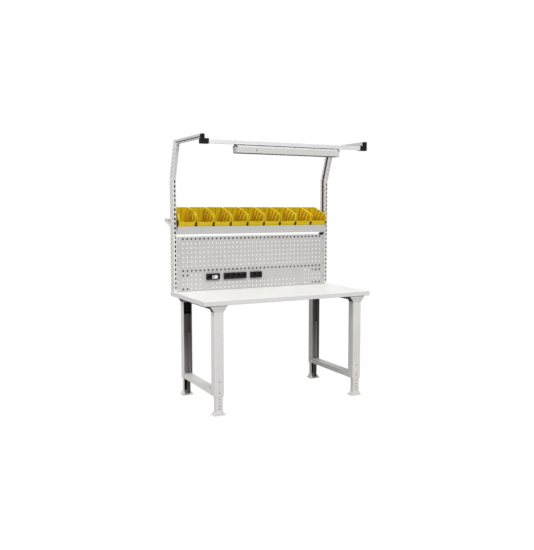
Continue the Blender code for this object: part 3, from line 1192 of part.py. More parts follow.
def build_bench():
    build_worktop()
    for place in leg_places():
        build_column(*place)
        build_inner_leg(*place)
        build_foot(*place)
        build_leg_bolt(*place)
    build_upper_panel()
    build_lower_panel()
    build_switch_module()
    places = strip_places()
    build_socket_strip("socket_strip_four", *places["four_sockets"], 4)
    build_socket_strip("socket_strip_two", *places["two_sockets"], 2)
    build_shelf_tray()
    build_bins()
    build_cross_rail()
    build_lamp()
    build_cord_clip()
    for side_name, side in SIDES.items():
        build_top_beam(side_name, side)
        build_side_rail(side_name, side)
        build_upright(side_name, side)
        build_panel_bracket(side_name, side)
        build_shelf_bracket(side_name, side)
        build_shelf_bolt(side_name, side)
        build_arm(side_name, side)
        build_rail_clamp(side_name, side)
        build_lamp_hanger(side_name, side)


build_bench()
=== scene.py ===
# %% [markdown]
# # Electronics workbench
#
# A workbench for electronics: a white laminate worktop on two steel leg frames, two
# slotted uprights that carry perforated panels, power strips, a tilted shelf of open
# bins and, on two forward arms, a cross rail with a lamp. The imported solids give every
# size and place. This script dresses them with finer pieces and real finishes.

import json
import math

import bmesh
import bpy
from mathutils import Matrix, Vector

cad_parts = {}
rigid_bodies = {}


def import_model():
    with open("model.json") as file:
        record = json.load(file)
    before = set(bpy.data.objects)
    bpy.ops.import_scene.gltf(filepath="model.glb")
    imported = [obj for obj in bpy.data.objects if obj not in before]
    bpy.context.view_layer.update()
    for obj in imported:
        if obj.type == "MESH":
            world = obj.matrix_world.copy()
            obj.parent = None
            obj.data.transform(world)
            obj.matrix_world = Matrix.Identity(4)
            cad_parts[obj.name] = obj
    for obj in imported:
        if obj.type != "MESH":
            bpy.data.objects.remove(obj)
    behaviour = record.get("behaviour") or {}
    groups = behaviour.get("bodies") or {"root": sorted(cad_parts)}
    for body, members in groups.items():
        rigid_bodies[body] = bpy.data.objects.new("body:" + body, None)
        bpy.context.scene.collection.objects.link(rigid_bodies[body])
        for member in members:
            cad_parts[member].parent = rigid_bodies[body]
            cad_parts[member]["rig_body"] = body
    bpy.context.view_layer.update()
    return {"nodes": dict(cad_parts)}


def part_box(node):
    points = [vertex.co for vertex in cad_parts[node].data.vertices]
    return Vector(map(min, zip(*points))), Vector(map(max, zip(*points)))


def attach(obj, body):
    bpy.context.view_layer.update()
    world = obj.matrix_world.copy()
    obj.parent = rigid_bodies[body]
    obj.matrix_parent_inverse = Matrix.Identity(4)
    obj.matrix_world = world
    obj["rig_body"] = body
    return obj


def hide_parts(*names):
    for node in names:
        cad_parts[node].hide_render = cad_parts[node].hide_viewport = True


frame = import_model()
SOLIDS = frame["nodes"]

# %% [markdown]
# ## Camera
#
# The photograph was taken a little above the shelf's height, from the bench's left
# front corner. The square holes of the panels stand 38 mm apart, so their places in
# the picture fix the focal length, the position and the two angles of the camera.
# The focal length is kept in pixels of the picture and turned into millimetres here.

# %% Camera
IMAGE_WIDTH = 534             # pixels
FOCAL_LENGTH = 687.16         # pixels
SENSOR_WIDTH = 36.0           # millimetres
CAMERA_PLACE = (-2.6738, -5.1899, 1.5833)
CAMERA_PITCH = math.radians(5.576)
CAMERA_YAW = math.radians(27.469)

camera_data = bpy.data.cameras.new("camera")
camera_data.sensor_fit = 'HORIZONTAL'
camera_data.sensor_width = SENSOR_WIDTH
camera_data.lens = FOCAL_LENGTH * SENSOR_WIDTH / IMAGE_WIDTH
camera_data.clip_end = 100.0
camera = bpy.data.objects.new("camera", camera_data)
bpy.context.scene.collection.objects.link(camera)
camera.location = CAMERA_PLACE
camera.rotation_euler = (math.pi / 2 - CAMERA_PITCH, 0.0, -CAMERA_YAW)
bpy.context.scene.camera = camera
bpy.context.scene.view_settings.view_transform = 'Standard'
print("lens in mm:", round(camera_data.lens, 2))

# %% [markdown]
# ## Colours and shader nodes
#
# Colours are written as the hex values that a screen shows. The renderer works with
# linear light, so one function converts them. Another adds a shader node with its
# settings and links in one call, which keeps each material readable.

# %% Colour and node helpers
def linear(hex_colour):
    """Linear RGBA of an sRGB hex value such as 'd6d7d3'."""
    channels = (int(hex_colour[i:i + 2], 16) / 255 for i in (0, 2, 4))
    return (*(c / 12.92 if c <= 0.04045 else ((c + 0.055) / 1.055) ** 2.4
              for c in channels), 1.0)


def add_node(tree, kind, settings=None, inputs=None):
    node = tree.nodes.new(kind)
    for name, value in (settings or {}).items():
        setattr(node, name, value)
    for name, value in (inputs or {}).items():
        socket = node.inputs[name]
        if isinstance(value, bpy.types.NodeSocket):
            tree.links.new(value, socket)
        else:
            socket.default_value = value
    return node


# %% [markdown]
# ## Studio
#
# The photograph is a catalogue cut-out: white all round, with deep shade under the
# worktop. So the sky that lights the bench is weak, and another, plain white, is shown
# to the camera, in glossy faces and through clear ones.

# %% Sky
SKY_LIGHT = 0.33
PLAIN_WHITE = (1.0, 1.0, 1.0, 1.0)


def seen_directly(tree):
    """One for what the camera sees itself, in a gloss or through a clear piece."""
    ray = add_node(tree, "ShaderNodeLightPath")
    seen = add_node(tree, "ShaderNodeMath", {"operation": 'MAXIMUM'},
                    {0: ray.outputs["Is Camera Ray"], 1: ray.outputs["Is Glossy Ray"]})
    return add_node(tree, "ShaderNodeMath", {"operation": 'MAXIMUM'},
                    {0: seen.outputs[0], 1: ray.outputs["Is Transmission Ray"]}).outputs[0]


world = bpy.data.worlds.new("studio_sky")
bpy.context.scene.world = world
world.use_nodes = True
tree = world.node_tree
tree.nodes.clear()
seen = seen_directly(tree)
light = add_node(tree, "ShaderNodeBackground",
                 inputs={"Color": linear("fbfbfa"), "Strength": SKY_LIGHT})
white = add_node(tree, "ShaderNodeBackground", inputs={"Color": PLAIN_WHITE, "Strength": 1.0})
mixed = add_node(tree, "ShaderNodeMixShader",
                 inputs={0: seen, 1: light.outputs[0], 2: white.outputs[0]})
add_node(tree, "ShaderNodeOutputWorld", inputs={"Surface": mixed.outputs[0]})
print("sky light:", SKY_LIGHT)

# %% [markdown]
# ### Lamps
#
# The light in the photograph is soft and comes from above the front and from the left.
# A large square lamp hangs high before the bench and a smaller one high at its left. Big
# lamps far away give soft shadows, as white umbrellas do in a studio.

# %% Lamps
BENCH_HEART = (0.0, 0.0, 1.1)


def add_softbox(name, place, target, size, power):
    data = bpy.data.lights.new(name, 'AREA')
    data.shape = 'SQUARE'
    data.size = size
    data.energy = power
    lamp = bpy.data.objects.new(name, data)
    bpy.context.scene.collection.objects.link(lamp)
    lamp.location = place
    lamp.rotation_euler = (Vector(target) - Vector(place)).to_track_quat('-Z', 'Y').to_euler()


add_softbox("front_softbox", (-0.2, -8.3, 7.2), BENCH_HEART, 5.0, 770.0)
add_softbox("left_softbox", (-7.8, -0.9, 6.2), BENCH_HEART, 3.6, 435.0)
print("lamps:", len(bpy.data.lights))

# %% [markdown]
# ### Floor
#
# The floor looks white to the camera but passes little light back up, and keeps a soft
# shadow. So its material mixes a glow, for the rays that the camera sees, with a plain
# matt grey for all the others.

# %% Floor
FLOOR_SIZE = 60.0
FLOOR_DEPTH = 0.0005          # the floor's face below the feet
CAMERA_GLOW = 0.93            # share of plain white in what the camera sees of the floor
FLOOR_GLOW = 1.08             # a little over white, so that floor and sky meet unseen
bpy.ops.object.select_all(action='DESELECT')
bpy.ops.mesh.primitive_plane_add(size=FLOOR_SIZE, location=(0.0, 0.0, -FLOOR_DEPTH))
floor = bpy.context.object
floor.name = "floor"
floor_material = bpy.data.materials.new("pale studio floor")
floor_material.use_nodes = True
tree = floor_material.node_tree
tree.nodes.clear()
share = add_node(tree, "ShaderNodeMath", {"operation": 'MULTIPLY'},
                 {0: seen_directly(tree), 1: CAMERA_GLOW})
matt = add_node(tree, "ShaderNodeBsdfDiffuse", inputs={"Color": linear("a0a0a0")})
glow = add_node(tree, "ShaderNodeEmission",
                inputs={"Color": PLAIN_WHITE, "Strength": FLOOR_GLOW})
mixed = add_node(tree, "ShaderNodeMixShader",
                 inputs={0: share.outputs[0], 1: matt.outputs[0], 2: glow.outputs[0]})
add_node(tree, "ShaderNodeOutputMaterial", inputs={"Surface": mixed.outputs[0]})
floor.data.materials.append(floor_material)
print("floor metres:", FLOOR_SIZE)

# %% [markdown]
# ## Finishes
#
# Every material starts from one Principled shader. Grain and colour come from noise in
# object coordinates, which here are metres, so a pattern's scale is one over the real
# size of its grain. The grain reaches the shader as a slight spread of colour and
# roughness and as a bump of a few hundredths of a millimetre.

# %% Material base
PATTERN_RANGE = {"From Min": 0.3, "From Max": 0.7}  # where most of a pattern's values lie
MIX_FACTOR, MIX_FIRST, MIX_SECOND, MIX_RESULT = 0, 6, 7, 2  # sockets that mix colours


def grain_size(millimetres):
    """Scale of a texture in object coordinates whose grain has this size."""
    return 1000.0 / millimetres


def start_material(name, hex_colour, roughness, metallic=0.0):
    material = bpy.data.materials.new(name)
    material.use_nodes = True
    tree = material.node_tree
    shader = tree.nodes["Principled BSDF"]
    shader.inputs["Base Color"].default_value = linear(hex_colour)
    shader.inputs["Roughness"].default_value = roughness
    shader.inputs["Metallic"].default_value = metallic
    place = add_node(tree, "ShaderNodeTexCoord")
    return material, tree, shader, place.outputs["Object"]


def drifting_colour(tree, pattern, hex_colour, hex_shade):
    """A colour that drifts from one to another with a pattern."""
    share = add_node(tree, "ShaderNodeMapRange", inputs={
        "Value": pattern, **PATTERN_RANGE, "To Min": 0.0, "To Max": 1.0})
    return add_node(tree, "ShaderNodeMix", {"data_type": 'RGBA'}, {
        MIX_FACTOR: share.outputs["Result"], MIX_FIRST: linear(hex_colour),
        MIX_SECOND: linear(hex_shade)}).outputs[MIX_RESULT]


def connect_surface(tree, shader, colour, pattern, gloss_range, relief, height):
    """Links a colour, a roughness that follows a pattern, and a relief to the shader."""
    if colour is not None:
        tree.links.new(colour, shader.inputs["Base Color"])
    gloss = add_node(tree, "ShaderNodeMapRange", inputs={
        "Value": pattern, **PATTERN_RANGE, "To Min": gloss_range[0], "To Max": gloss_range[1]})
    tree.links.new(gloss.outputs["Result"], shader.inputs["Roughness"])
    raised = add_node(tree, "ShaderNodeBump", inputs={
        "Height": relief, "Distance": height, "Strength": 1.0})
    tree.links.new(raised.outputs["Normal"], shader.inputs["Normal"])


# %% [markdown]
# ### Powder coat
#
# Powder paint melts into a film with a faint orange peel, here 2.5 mm across and a few
# hundredths of a millimetre high, and never has quite the same gloss everywhere. The frame has
# a light warm grey and the panels a darker one. Inside the channels the paint is darker and
# more matt: painted shade. Under the worktop a nearly black paint is painted shade as well.

# %% Powder coat
PAINT_CLOUD, PAINT_GLOSS = 180, 9  # millimetres


def powder_coat(name, hex_colour, hex_shade, roughness, peel=2.5, height=0.00006):
    material, tree, shader, place = start_material(name, hex_colour, roughness)
    cloud = add_node(tree, "ShaderNodeTexNoise", inputs={
        "Vector": place, "Scale": grain_size(PAINT_CLOUD), "Detail": 3.0})
    gloss = add_node(tree, "ShaderNodeTexNoise", inputs={
        "Vector": place, "Scale": grain_size(PAINT_GLOSS), "Detail": 4.0})
    skin = add_node(tree, "ShaderNodeTexNoise", inputs={
        "Vector": place, "Scale": grain_size(peel), "Detail": 2.0})
    colour = drifting_colour(tree, cloud.outputs["Fac"], hex_colour, hex_shade)
    connect_surface(tree, shader, colour, gloss.outputs["Fac"],
                    (roughness - 0.05, roughness + 0.06), skin.outputs["Fac"], height)
    return material


# Pale and a little warm, with a soft sheen.
FRAME_PAINT = powder_coat("light grey powder coat", "dedddb", "dad9d7", 0.42)
# A dull film, which the eye takes for shade.
# Darker and duller: painted shade inside the channels.
SHADE_INSIDE_PAINT = powder_coat("thin powder coat inside a channel", "9b9a98", "8f8e8c", 0.62)
# Almost black and flat: painted shade, so that a trough under the worktop looks deep.
SHADE_DARK_PRIMER = powder_coat("dark primer", "2a2a2b", "252526", 0.7)
# A middle grey that sets off the dark holes.
PANEL_PAINT = powder_coat("panel grey powder coat", "bdbcbb", "b9b8b7", 0.46, 1.8)
# A shade lighter than the panels.
SHELF_PAINT = powder_coat("shelf grey powder coat", "cecdcc", "cac9c8", 0.44, 1.8)
# The smoothest of the paints, with the clearest gloss.
LAMP_PAINT = powder_coat("lamp grey powder coat", "d0d0cf", "cccccb", 0.38, 1.2, 0.00003)
print("materials so far:", len(bpy.data.materials))

# %% [markdown]
# ### Laminate
#
# The worktop is a board under a hard white laminate with plastic edge bands. The face
# has a fine pearl texture that breaks up reflections. A hairline of glue shows where
# the laminate meets the band, 0.8 mm below the face: it is found by height alone.

# %% Laminate
TOP_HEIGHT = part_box("worktop")[1][2]
LAMINATE_THICKNESS = 0.0008
GLUE_LINE = 0.00025
LAMINATE_CLOUD, PEARL_SIZE = 260, 1.6  # millimetres
PEARL_HEIGHT = 0.000006
LAMINATE_GLOSS = (0.36, 0.44)


def laminate(name, hex_face, hex_shade, hex_band, hex_glue):
    material, tree, shader, place = start_material(name, hex_face, 0.26)
    cloud = add_node(tree, "ShaderNodeTexNoise", inputs={
        "Vector": place, "Scale": grain_size(LAMINATE_CLOUD), "Detail": 2.0})
    pearl = add_node(tree, "ShaderNodeTexNoise", inputs={
        "Vector": place, "Scale": grain_size(PEARL_SIZE), "Detail": 2.0})
    face = drifting_colour(tree, cloud.outputs["Fac"], hex_face, hex_shade)
    axes = add_node(tree, "ShaderNodeSeparateXYZ", inputs={"Vector": place})
    depth = add_node(tree, "ShaderNodeMath", {"operation": 'SUBTRACT'},
                     {0: TOP_HEIGHT - LAMINATE_THICKNESS, 1: axes.outputs["Z"]})
    band = add_node(tree, "ShaderNodeMath", {"operation": 'GREATER_THAN'},
                    {0: depth.outputs[0], 1: GLUE_LINE})
    offset = add_node(tree, "ShaderNodeMath", {"operation": 'ABSOLUTE'}, {0: depth.outputs[0]})
    line = add_node(tree, "ShaderNodeMath", {"operation": 'LESS_THAN'},
                    {0: offset.outputs[0], 1: GLUE_LINE})
    edged = add_node(tree, "ShaderNodeMix", {"data_type": 'RGBA'}, {
        MIX_FACTOR: band.outputs[0], MIX_FIRST: face, MIX_SECOND: linear(hex_band)})
    glued = add_node(tree, "ShaderNodeMix", {"data_type": 'RGBA'}, {
        MIX_FACTOR: line.outputs[0], MIX_FIRST: edged.outputs[MIX_RESULT],
        MIX_SECOND: linear(hex_glue)})
    connect_surface(tree, shader, glued.outputs[MIX_RESULT], pearl.outputs["Fac"],
                    LAMINATE_GLOSS, pearl.outputs["Fac"], PEARL_HEIGHT)
    shader.inputs["Specular IOR Level"].default_value = 0.10
    return material


# Nearly white, with a wide and faint highlight.
LAMINATE = laminate("white pearl laminate", "f3f3f1", "efefec", "dddddb", "a9a8a3")
print("laminate face at", round(TOP_HEIGHT, 4))

# %% [markdown]
# ### Moulded plastics
#
# The bins are polypropylene: saturated yellow, a little translucent, with a soft gloss and
# faint flow marks. Their thin rims and ribs are paler, which is painted light, and their
# insides have a coarse grain and a darker yellow, which is painted shade. The black housings
# come from a spark-eroded mould, which leaves a fine pebbled skin. The guides between the bins
# are dark brown: painted shade, warmed by the bins' yellow. The switch plate is polished white
# plastic.

# %% Plastics
FLOW_SIZE, FLOW_WAVES = 60, 0.6  # millimetres, and how much the flow marks wander


def moulded_plastic(name, hex_colour, hex_shade, roughness, pebble, height, specular=0.5):
    material, tree, shader, place = start_material(name, hex_colour, roughness)
    flow = add_node(tree, "ShaderNodeTexNoise", inputs={
        "Vector": place, "Scale": grain_size(FLOW_SIZE), "Detail": 2.0,
        "Distortion": FLOW_WAVES})
    skin = add_node(tree, "ShaderNodeTexVoronoi", {"feature": 'SMOOTH_F1'},
                    {"Vector": place, "Scale": grain_size(pebble)})
    colour = drifting_colour(tree, flow.outputs["Fac"], hex_colour, hex_shade)
    connect_surface(tree, shader, colour, skin.outputs["Distance"],
                    (roughness - 0.04, roughness + 0.05), skin.outputs["Distance"], height)
    shader.inputs["Specular IOR Level"].default_value = specular
    return material


# A strong yellow with a soft gloss.
BIN_PLASTIC = moulded_plastic("yellow polypropylene", "e4cc22", "dcc21a",
                              0.5, 1.1, 0.00002, 0.06)
# Rougher, and darker as painted shade, so that the bins look hollow.
GRAINED_SHADED_PLASTIC = moulded_plastic("grained yellow polypropylene", "d6b41a", "c6a212",
                                  0.6, 0.6, 0.00005, 0.03)
# Paler, as if light came through.
# Paler: painted light on the rims and ribs.
LIT_RIM_PLASTIC = moulded_plastic("thin yellow polypropylene", "fcde42", "f6d436",
                              0.5, 1.1, 0.00002, 0.06)
# Black with a fine broken sheen.
BLACK_PLASTIC = moulded_plastic("spark-eroded black plastic", "1a1a1b", "202021",
                                0.55, 0.7, 0.00003, 0.12)
# Coarser and duller than the strips.
BLACK_NYLON = moulded_plastic("glass-filled black nylon", "141415", "19191a",
                              0.62, 1.4, 0.00005, 0.1)
# Dark and warm: painted shade between the bins, tinted by their yellow.
SHADE_BROWN_NYLON = moulded_plastic("dark brown nylon", "2a1508", "32190a",
                              0.62, 1.4, 0.00005, 0.1)
# Black without a highlight: painted shade, set where shade falls.
SHADE_BLACK_FOAM = moulded_plastic("black foam rubber", "050505", "080808",
                             0.9, 1.2, 0.0002, 0.02)
# Clean and bright, with small sharp highlights.
WHITE_PLASTIC = moulded_plastic("polished white plastic", "e0e1e3", "dddee0",
                                0.2, 3.0, 0.00001)
# A cool grey with a clear gloss.
GREY_PLASTIC = moulded_plastic("grey switch plastic", "8b8d92", "85878c",
                               0.28, 2.0, 0.00001)
print("materials so far:", len(bpy.data.materials))

# %% [markdown]
# ### Metals
#
# The arms and the cross rail are clear anodised extrusions: the die leaves faint lines
# along their length, so the noise is stretched along that axis. The screws have a
# bright zinc plating, and the sockets hold nickel contacts.

# %% Metals
DIE_LINE_SIZE, PLATING_SIZE = 0.8, 1.5  # millimetres
ANODISED_METALLIC = 0.55      # the oxide film hides part of the metal


def anodised(name, hex_colour, hex_line, stretch):
    material, tree, shader, place = start_material(name, hex_colour, 0.36, ANODISED_METALLIC)
    drawn = add_node(tree, "ShaderNodeMapping",
                     inputs={"Vector": place, "Scale": tuple(1.0 / s for s in stretch)})
    lines = add_node(tree, "ShaderNodeTexNoise", inputs={
        "Vector": drawn.outputs["Vector"], "Scale": grain_size(DIE_LINE_SIZE), "Detail": 3.0})
    colour = drifting_colour(tree, lines.outputs["Fac"], hex_colour, hex_line)
    connect_surface(tree, shader, colour, lines.outputs["Fac"], (0.30, 0.44),
                    lines.outputs["Fac"], 0.00001)
    return material


def plated(name, hex_colour, roughness):
    material, tree, shader, place = start_material(name, hex_colour, roughness, 1.0)
    grain = add_node(tree, "ShaderNodeTexNoise", inputs={
        "Vector": place, "Scale": grain_size(PLATING_SIZE), "Detail": 4.0})
    connect_surface(tree, shader, None, grain.outputs["Fac"],
                    (roughness - 0.08, roughness + 0.1), grain.outputs["Fac"], 0.00002)
    return material


# Silvery and satin, with a sheen drawn out along the rail.
RAIL_ALUMINIUM = anodised("anodised aluminium drawn across", "d9dadb", "d1d2d3",
                          (60.0, 1.0, 1.0))
# A little darker, with its sheen drawn out along the arms.
ARM_ALUMINIUM = anodised("anodised aluminium drawn forward", "c6c7c8", "bebfc0",
                         (1.0, 60.0, 1.0))
# Small bright points among the paint.
ZINC = plated("zinc-plated steel", "b9bbbd", 0.3)
# A dim glint deep in the sockets.
DULL_NICKEL = plated("dull nickel contact", "6f6d69", 0.5)
print("materials so far:", len(bpy.data.materials))

# %% [markdown]
# ### Opal diffuser
#
# The lamp's underside is an opal sheet with fine prisms across it. The lamp is off in the
# photograph, so the sheet only scatters what falls on it. Its grey colour is painted shade.

# %% Diffuser
PRISM_SIZE, PRISM_HEIGHT = 20, 0.0003  # millimetres; metres


def opal_sheet(name, hex_colour):
    material, tree, shader, place = start_material(name, hex_colour, 0.34)
    prisms = add_node(tree, "ShaderNodeTexWave",
                      {"wave_type": 'BANDS', "bands_direction": 'X', "wave_profile": 'TRI'},
                      {"Vector": place, "Scale": grain_size(PRISM_SIZE) / math.tau})
    raised = add_node(tree, "ShaderNodeBump", inputs={
        "Height": prisms.outputs["Fac"], "Distance": PRISM_HEIGHT, "Strength": 1.0})
    tree.links.new(raised.outputs["Normal"], shader.inputs["Normal"])
    shader.inputs["Transmission Weight"].default_value = 0.15
    return material


# Grey rather than milky, as painted shade on the unlit underside, with fine lines of light and
# shade from its prisms.
SHADED_OPAL = opal_sheet("opal prismatic sheet", "a2a4a6")
print("materials:", len(bpy.data.materials))

# %% [markdown]
# ## Modelling by hand
#
# The pieces are modelled as one would at the screen: add a primitive at its size and
# place, go into edit mode, pick some faces or edges and run an operator on them. The
# picking is done in code, by where a face lies or where it looks. These helpers only
# shorten that. Everything is deselected first, because operators act on all that is
# selected.

# %% Selecting and editing
X, Y, Z = 0, 1, 2
SIDES = {"left": -1, "right": 1}
NEAR = 0.001                  # how near to a plane an edge or face counts as on it
FIT_GAP = 0.0002              # between pieces that lie against each other


def select_only(*pieces):
    if bpy.context.object and bpy.context.object.mode != 'OBJECT':
        bpy.ops.object.mode_set(mode='OBJECT')
    bpy.ops.object.select_all(action='DESELECT')
    for piece in pieces:
        piece.select_set(True)
    bpy.context.view_layer.objects.active = pieces[-1]


def pick(piece, kind, test):
    """Edit mode with only the faces, edges or vertices that pass the test selected."""
    select_only(piece)
    bpy.ops.object.mode_set(mode='EDIT')
    bpy.ops.mesh.select_mode(type=kind)
    bpy.ops.mesh.select_all(action='DESELECT')
    mesh = bmesh.from_edit_mesh(piece.data)
    items = {'FACE': mesh.faces, 'EDGE': mesh.edges, 'VERT': mesh.verts}[kind]
    chosen = [item for item in items if test(item)]
    for item in chosen:
        item.select_set(True)
    mesh.select_flush_mode()
    bmesh.update_edit_mesh(piece.data)
    return len(chosen)


def pick_all(piece):
    return pick(piece, 'VERT', lambda v: True)


def leave_edit():
    bpy.ops.object.mode_set(mode='OBJECT')


def middle_of(item):
    """Middle of a face or an edge."""
    if isinstance(item, bmesh.types.BMFace):
        return item.calc_center_median()
    return (item.verts[0].co + item.verts[1].co) / 2


def runs_along(edge, axis, length=0.0005):
    """Whether an edge reaches further than a length along an axis."""
    return abs(edge.verts[0].co[axis] - edge.verts[1].co[axis]) > length


def bevel_edges(piece, test, offset, segments):
    """Rounds the edges that pass the test."""
    pick(piece, 'EDGE', test)
    bpy.ops.mesh.bevel(offset=offset, segments=segments)
    leave_edit()


def apply_modifier(piece, kind, **settings):
    select_only(piece)
    modifier = piece.modifiers.new(kind.title(), kind)
    for name, value in settings.items():
        setattr(modifier, name, value)
    bpy.ops.object.modifier_apply(modifier=modifier.name)


def settle(piece):
    """Puts the object's place, turn and size into its mesh."""
    select_only(piece)
    bpy.ops.object.transform_apply(location=True, rotation=True, scale=True)
    return piece


# %% Primitives at their place
def around(middle, size):
    return middle - size / 2, middle + size / 2


def add_block(name, x, y, z, side=1):
    """A block between two X, two Y and two Z; side is -1 for its mirror image in X."""
    low, high = zip(sorted(side * edge for edge in x), sorted(y), sorted(z))
    bpy.ops.object.select_all(action='DESELECT')
    middle = [(a + b) / 2 for a, b in zip(low, high)]
    bpy.ops.mesh.primitive_cube_add(size=1.0, location=middle,
                                    scale=[b - a for a, b in zip(low, high)])
    piece = bpy.context.object
    piece.name = name
    return settle(piece)


def add_rod(name, start, end, radius, sides=24):
    bpy.ops.object.select_all(action='DESELECT')
    start, end = Vector(start), Vector(end)
    bpy.ops.mesh.primitive_cylinder_add(
        vertices=sides, radius=radius, depth=(end - start).length, location=(start + end) / 2,
        rotation=(end - start).to_track_quat('Z', 'Y').to_euler())
    piece = bpy.context.object
    piece.name = name
    return settle(piece)


def join_all(pieces, name):
    select_only(*pieces)
    bpy.ops.object.join()
    piece = bpy.context.object
    piece.name = name
    return piece


def smooth(piece, degrees=35.0):
    select_only(piece)
    bpy.ops.object.shade_smooth_by_angle(angle=math.radians(degrees))
    return piece


def cut(piece, cutter):
    """Boolean difference, after which the cutter is deleted."""
    apply_modifier(piece, 'BOOLEAN', operation='DIFFERENCE', object=cutter, solver='EXACT')
    bpy.data.objects.remove(cutter)


def copy_of(piece, name, offset, facing=None):
    """A copy with its own mesh, moved and perhaps with its Z axis turned."""
    select_only(piece)
    bpy.ops.object.duplicate(linked=False)
    twin = bpy.context.object
    twin.name = name
    twin.location = offset
    if facing:
        twin.rotation_euler = Vector(facing).to_track_quat('Z', 'Y').to_euler()
    return settle(twin)


# %% Finish and body
def coat(piece, *materials):
    piece.data.materials.clear()
    for material in materials:
        piece.data.materials.append(material)


def finish(piece, material, body, stands_for=()):
    """Gives a piece its finish and its body, and hides the solids that it replaces."""
    if material is not None:
        coat(piece, material)
    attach(piece, body)
    if stands_for:
        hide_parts(*stands_for)
    return piece


# %% [markdown]
# ## Softened solids
#
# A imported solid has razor-sharp edges, which no bent or moulded part has. Where its
# shape is right, a copy is merged, its flat faces are joined and every sharp edge gets
# a small round. Weighted normals then keep the large faces flat to the light. The
# rounds of sheet steel are half a millimetre, those of mouldings about one.

# %% Copying a solid
MERGE_DISTANCE = 0.00002
FLAT_ANGLE, SMOOTH_ANGLE, SHARP_ANGLE = 0.5, 32.0, 40.0  # degrees


def free_copy(piece):
    """Drops what a copy inherits from a solid or a finished piece."""
    for key in list(piece.keys()):
        del piece[key]
    piece.parent = None


def merged_copy(name, node):
    select_only(SOLIDS[node])
    bpy.ops.object.duplicate(linked=False)
    piece = bpy.context.object
    piece.name = name
    free_copy(piece)
    bpy.ops.mesh.customdata_custom_splitnormals_clear()
    bpy.ops.object.mode_set(mode='EDIT')
    bpy.ops.mesh.select_all(action='SELECT')
    bpy.ops.mesh.remove_doubles(threshold=MERGE_DISTANCE)
    bpy.ops.mesh.dissolve_limited(angle_limit=math.radians(FLAT_ANGLE))
    leave_edit()
    return piece


def soften(piece, width, segments=2, degrees=SHARP_ANGLE):
    apply_modifier(piece, 'BEVEL', width=width, segments=segments, limit_method='ANGLE',
                   angle_limit=math.radians(degrees), use_clamp_overlap=True,
                   harden_normals=False)
    smooth(piece, SMOOTH_ANGLE)
    apply_modifier(piece, 'WEIGHTED_NORMAL', keep_sharp=True, weight=100)
    return piece


def dress_solid(node, material, width):
    piece = soften(merged_copy(node + "_dressed", node), width)
    body = SOLIDS[node]["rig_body"]
    return finish(piece, material, body, [node])


# %% Mouldings, castings and extrusions
LEGS = ("front_left", "rear_left", "front_right", "rear_right")
SINGLE, PAIR, FOUR = ("",), ("_left", "_right"), tuple("_" + leg for leg in LEGS)
ROUND_NODES = (
    ("arm_cap", PAIR, BLACK_NYLON, 0.0010, "black_plastic"),
    ("rail_clamp", PAIR, BLACK_NYLON, 0.0008, "black_plastic"),
    ("arm", PAIR, ARM_ALUMINIUM, 0.0006, "aluminium"),
    ("cross_rail", SINGLE, RAIL_ALUMINIUM, 0.0006, "aluminium"),
    ("lamp_housing", SINGLE, LAMP_PAINT, 0.0004, "lamp_paint"),
    ("lamp_end_cap", PAIR, LAMP_PAINT, 0.0006, "lamp_paint"),
    ("lamp_hanger", PAIR, BLACK_NYLON, 0.0004, "black_plastic"),
    ("lamp_diffuser", SINGLE, SHADED_OPAL, 0.0004, "diffuser"),
    ("switch_plate", SINGLE, WHITE_PLASTIC, 0.0006, "white_plastic"),
    ("switch_rocker", SINGLE, GREY_PLASTIC, 0.0004, "grey_plastic"),
    ("shelf_tray", SINGLE, SHELF_PAINT, 0.0004, "panel_paint"),
    ("side_rail", PAIR, FRAME_PAINT, 0.0005, "frame_paint"),
    ("shelf_bracket", PAIR, FRAME_PAINT, 0.0004, "frame_paint"),
    ("foot", FOUR, FRAME_PAINT, 0.0008, "frame_paint"),
)
for name, endings, material, width, slot_name in ROUND_NODES:
    for ending in endings:
        dress_solid(name + ending, material, width)
print("softened solids:", sum(len(row[1]) for row in ROUND_NODES))

# %% Solids that keep their own mesh
# The panel brackets are black: painted shade behind the panels' end holes.
KEPT_NODES = (("worktop", SINGLE, LAMINATE), ("upper_panel", SINGLE, PANEL_PAINT),
              ("lower_panel", SINGLE, PANEL_PAINT), ("panel_bracket", PAIR, SHADE_BLACK_FOAM),
              ("shelf_pivot_bolt", PAIR, ZINC), ("leg_bolt", FOUR, ZINC))
for name, endings, material in KEPT_NODES:
    for ending in endings:
        for slot in SOLIDS[name + ending].material_slots:
            slot.material = material
print("solids with their own mesh:", sum(len(row[1]) for row in KEPT_NODES))

# %% [markdown]
# ## Channels
#
# The columns, the inner legs and the uprights are open steel channels. Their outsides have the
# frame's coat, and their insides a darker one, which is painted shade. A face belongs to the
# inside when it looks towards the channel's own axis.

# %% Coat with painted shade inside
def coat_channel(piece, axis_at):
    """Painted shade on the faces that look at the axis; axis_at(z) gives its X and Y."""
    coat(piece, FRAME_PAINT, SHADE_INSIDE_PAINT)

    def looks_inside(face):
        middle = middle_of(face)
        axis_x, axis_y = axis_at(middle.z)
        inward = Vector((axis_x - middle.x, axis_y - middle.y, 0.0))
        return abs(face.normal.z) < 0.5 and face.normal.dot(inward) > 0.0005

    count = pick(piece, 'FACE', looks_inside)
    piece.active_material_index = 1
    bpy.ops.object.material_slot_assign()
    leave_edit()
    return count


# %% Round folds
FOLD_RADII = {"leg_column": 0.0065, "inner_leg": 0.0050}
FOLD_WALLS = {"leg_column": 0.0020, "inner_leg": 0.0025}
FOLD_ANGLE = 1.2              # radians, a little less than a square corner
FOLD_LENGTH, FOLD_FACE_AREA = 0.004, 0.004  # a fold and its two faces are larger
FOLD_TOLERANCE = 0.0002


